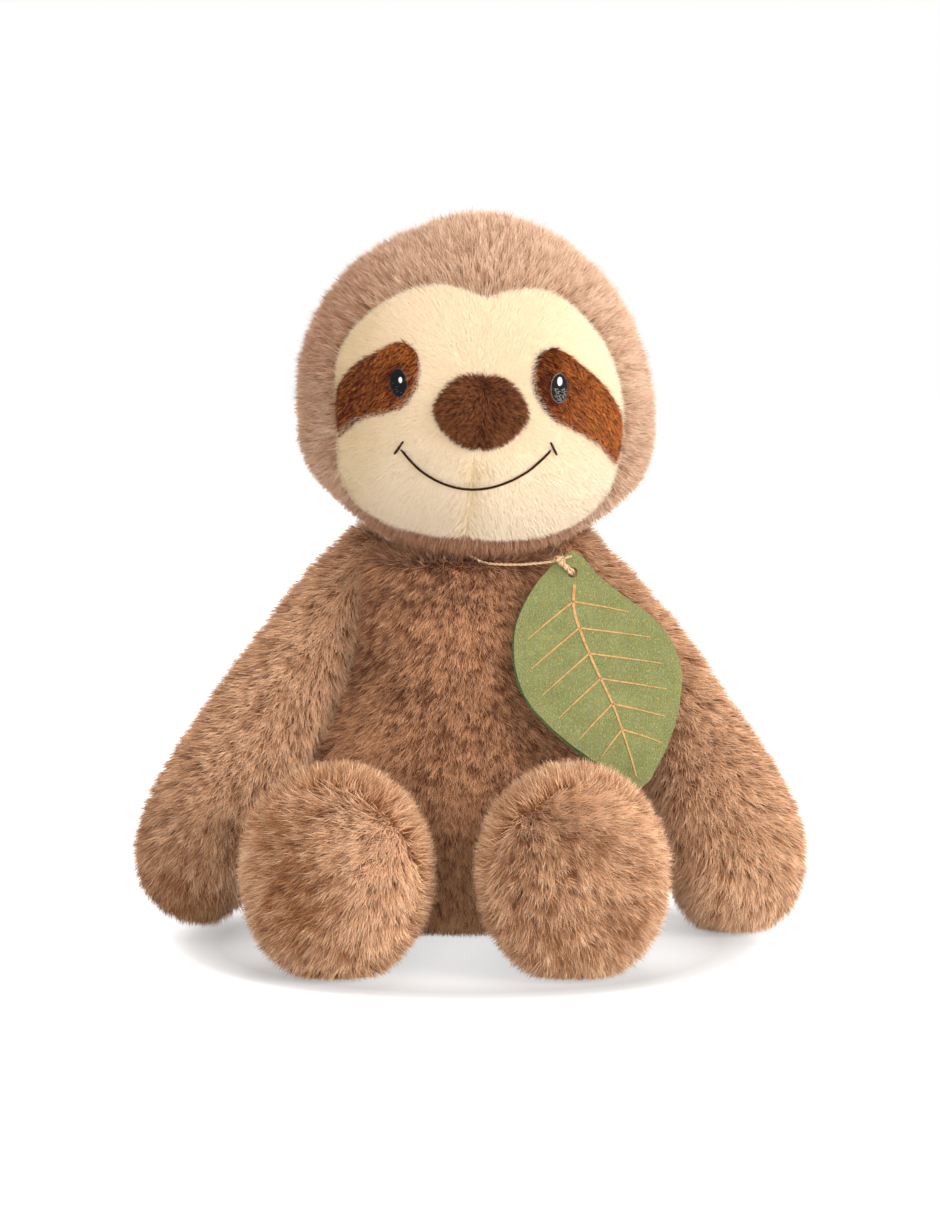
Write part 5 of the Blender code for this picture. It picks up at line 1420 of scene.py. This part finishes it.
# The board's left and right edges: how far down, and how far across there
LEFT_EDGE = (
    (0.12, -0.21), (0.22, -0.295), (0.33, -0.338), (0.45, -0.352), (0.58, -0.325), (0.75, -0.222), (0.90,
                                                                                                    -0.095),
    (1.0, 0.0),
)
RIGHT_EDGE = (
    (0.11, 0.062), (0.23, 0.145), (0.33, 0.226), (0.43, 0.276), (0.55, 0.292), (0.65, 0.271), (0.79, 0.204),
    (0.92, 0.102), (1.0, 0.0),
)
# Fibres in the board: size, colour, how rare they are, and a shift of their pattern
BOARD_FLECKS = ((0.00035, "#A8A462", 0.56, 1.7), (0.00040, "#668870", 0.56, 5.1),
                (0.00035, "#5C6638", 0.55, 9.3))


def recycled_board(name, green, dark, fleck_amount):
    """Uncoated recycled board: matt, cloudy in tone, with yellow and teal fibre flecks."""

    def bands_and_flecks(tree, place, colour):
        wave = add_node(tree, NOISE, {"Scale": 1 / 0.030, "Detail": 1.0, "Vector": place})
        wave = add_node(tree, MATHS, {0: wave.outputs["Fac"], 1: 150.0}, operation="MULTIPLY")
        wave = add_node(tree, MATHS, {0: wave.outputs[0]}, operation="SINE")
        bands = {"Value": wave.outputs[0], "From Min": 0.55, "From Max": 1.0, "To Min": 0.0, "To Max": 0.22}
        layers = [(add_node(tree, "ShaderNodeMapRange", bands).outputs[0], dark)]
        for size, code, low, shift in BOARD_FLECKS:
            moved = {"Vector": place, "Location": (shift, shift, shift), "Scale": (1.0, 1.0, 0.45)}
            moved = add_node(tree, "ShaderNodeMapping", moved).outputs[0]
            grain = add_node(tree, NOISE, {"Scale": 1 / size, "Detail": 1.0, "Vector": moved})
            hit = {"Value": grain.outputs["Fac"], "From Min": low, "From Max": low + 0.05,
                   "To Max": fleck_amount}
            layers.append((add_node(tree, "ShaderNodeMapRange", hit).outputs[0], code))
        for share, code in layers:
            laid = {0: share, 6: colour, 7: linear(code)}
            colour = add_node(tree, "ShaderNodeMix", laid, data_type="RGBA").outputs[2]
        return colour

    cloud = {"Scale": 1 / 0.009, "Detail": 5.0, "Roughness": 0.6}
    return grained(name, cloud, ((0.3, dark), (0.7, green)), 0.82, 0.3, (0.25, 0.0004), bands_and_flecks)


def ribbon(line, widths):
    """A thin printed stripe on the front card along a line of (across, down) shares."""
    line = np.asarray(line) * TAG_LENGTH
    heading = np.gradient(line, axis=0)
    heading /= np.linalg.norm(heading, axis=1)[:, None]
    beside = np.stack([-heading[:, 1], heading[:, 0]], axis=1) * (np.asarray(widths) / 2)[:, None]
    corners, faces = [], []
    for front in (-TAG_THICKNESS - VEIN_THICKNESS, -TAG_THICKNESS - 0.00001):
        for row in (line + beside, line - beside):
            corners += [tuple(tag_place @ Vector((x, front, -down))) for x, down in row]
    n = len(line)
    for i in range(n - 1):
        a, b, c, d = i, n + i, 2 * n + i, 3 * n + i
        faces += [(a, a + 1, b + 1, b), (c, d, d + 1, c + 1), (a, c, c + 1, a + 1), (b, b + 1, d + 1, d)]
    faces += [(0, n, 3 * n, 2 * n), (n - 1, 3 * n - 1, 4 * n - 1, 2 * n - 1)]
    return corners, faces


finish_node("tag_front", recycled_board("green_recycled_board", "#85834F", "#706E3C", 0.6))
# The back card is a darker copy of the same board: painted shade for the card that lies behind and in shadow
finish_node("tag_back", recycled_board("shaded_recycled_board", "#4E5C34", "#38442A", 0.4))

# The printed veins, in a thin layer of worn kraft-coloured ink
ink = grained("kraft_printing_ink", {"Scale": 1 / 0.0015, "Detail": 3.0},
              ((0.3, "#A87A42"), (0.6, "#C8985C")), 0.6)
rib = smooth_line(MIDRIB_SHARES, 6)
parts = [ribbon(rib, np.linspace(VEIN_WIDTH * 1.3, VEIN_WIDTH * 0.6, len(rib)))]
for start, end in SIDE_VEINS:
    root = (np.interp(start, rib[:, 1], rib[:, 0]), start)
    for table in (LEFT_EDGE, RIGHT_EDGE):
        limit = np.interp(end, [row[0] for row in table], [row[1] for row in table])
        reach = root[0] + (limit - root[0]) * VEIN_REACH_SHARE
        bend = (root[0] * 0.45 + reach * 0.55, start * 0.35 + end * 0.65 - 0.012)
        curve = smooth_line([root, bend, (reach, end)], 6)
        parts.append(ribbon(curve, np.linspace(VEIN_WIDTH * 0.8, VEIN_WIDTH * 0.35, len(curve))))
veins = put("tag_vein_print", make_mesh("tag_vein_print", *joined(parts), ink, False))
fix(veins, "tag", "green_card")
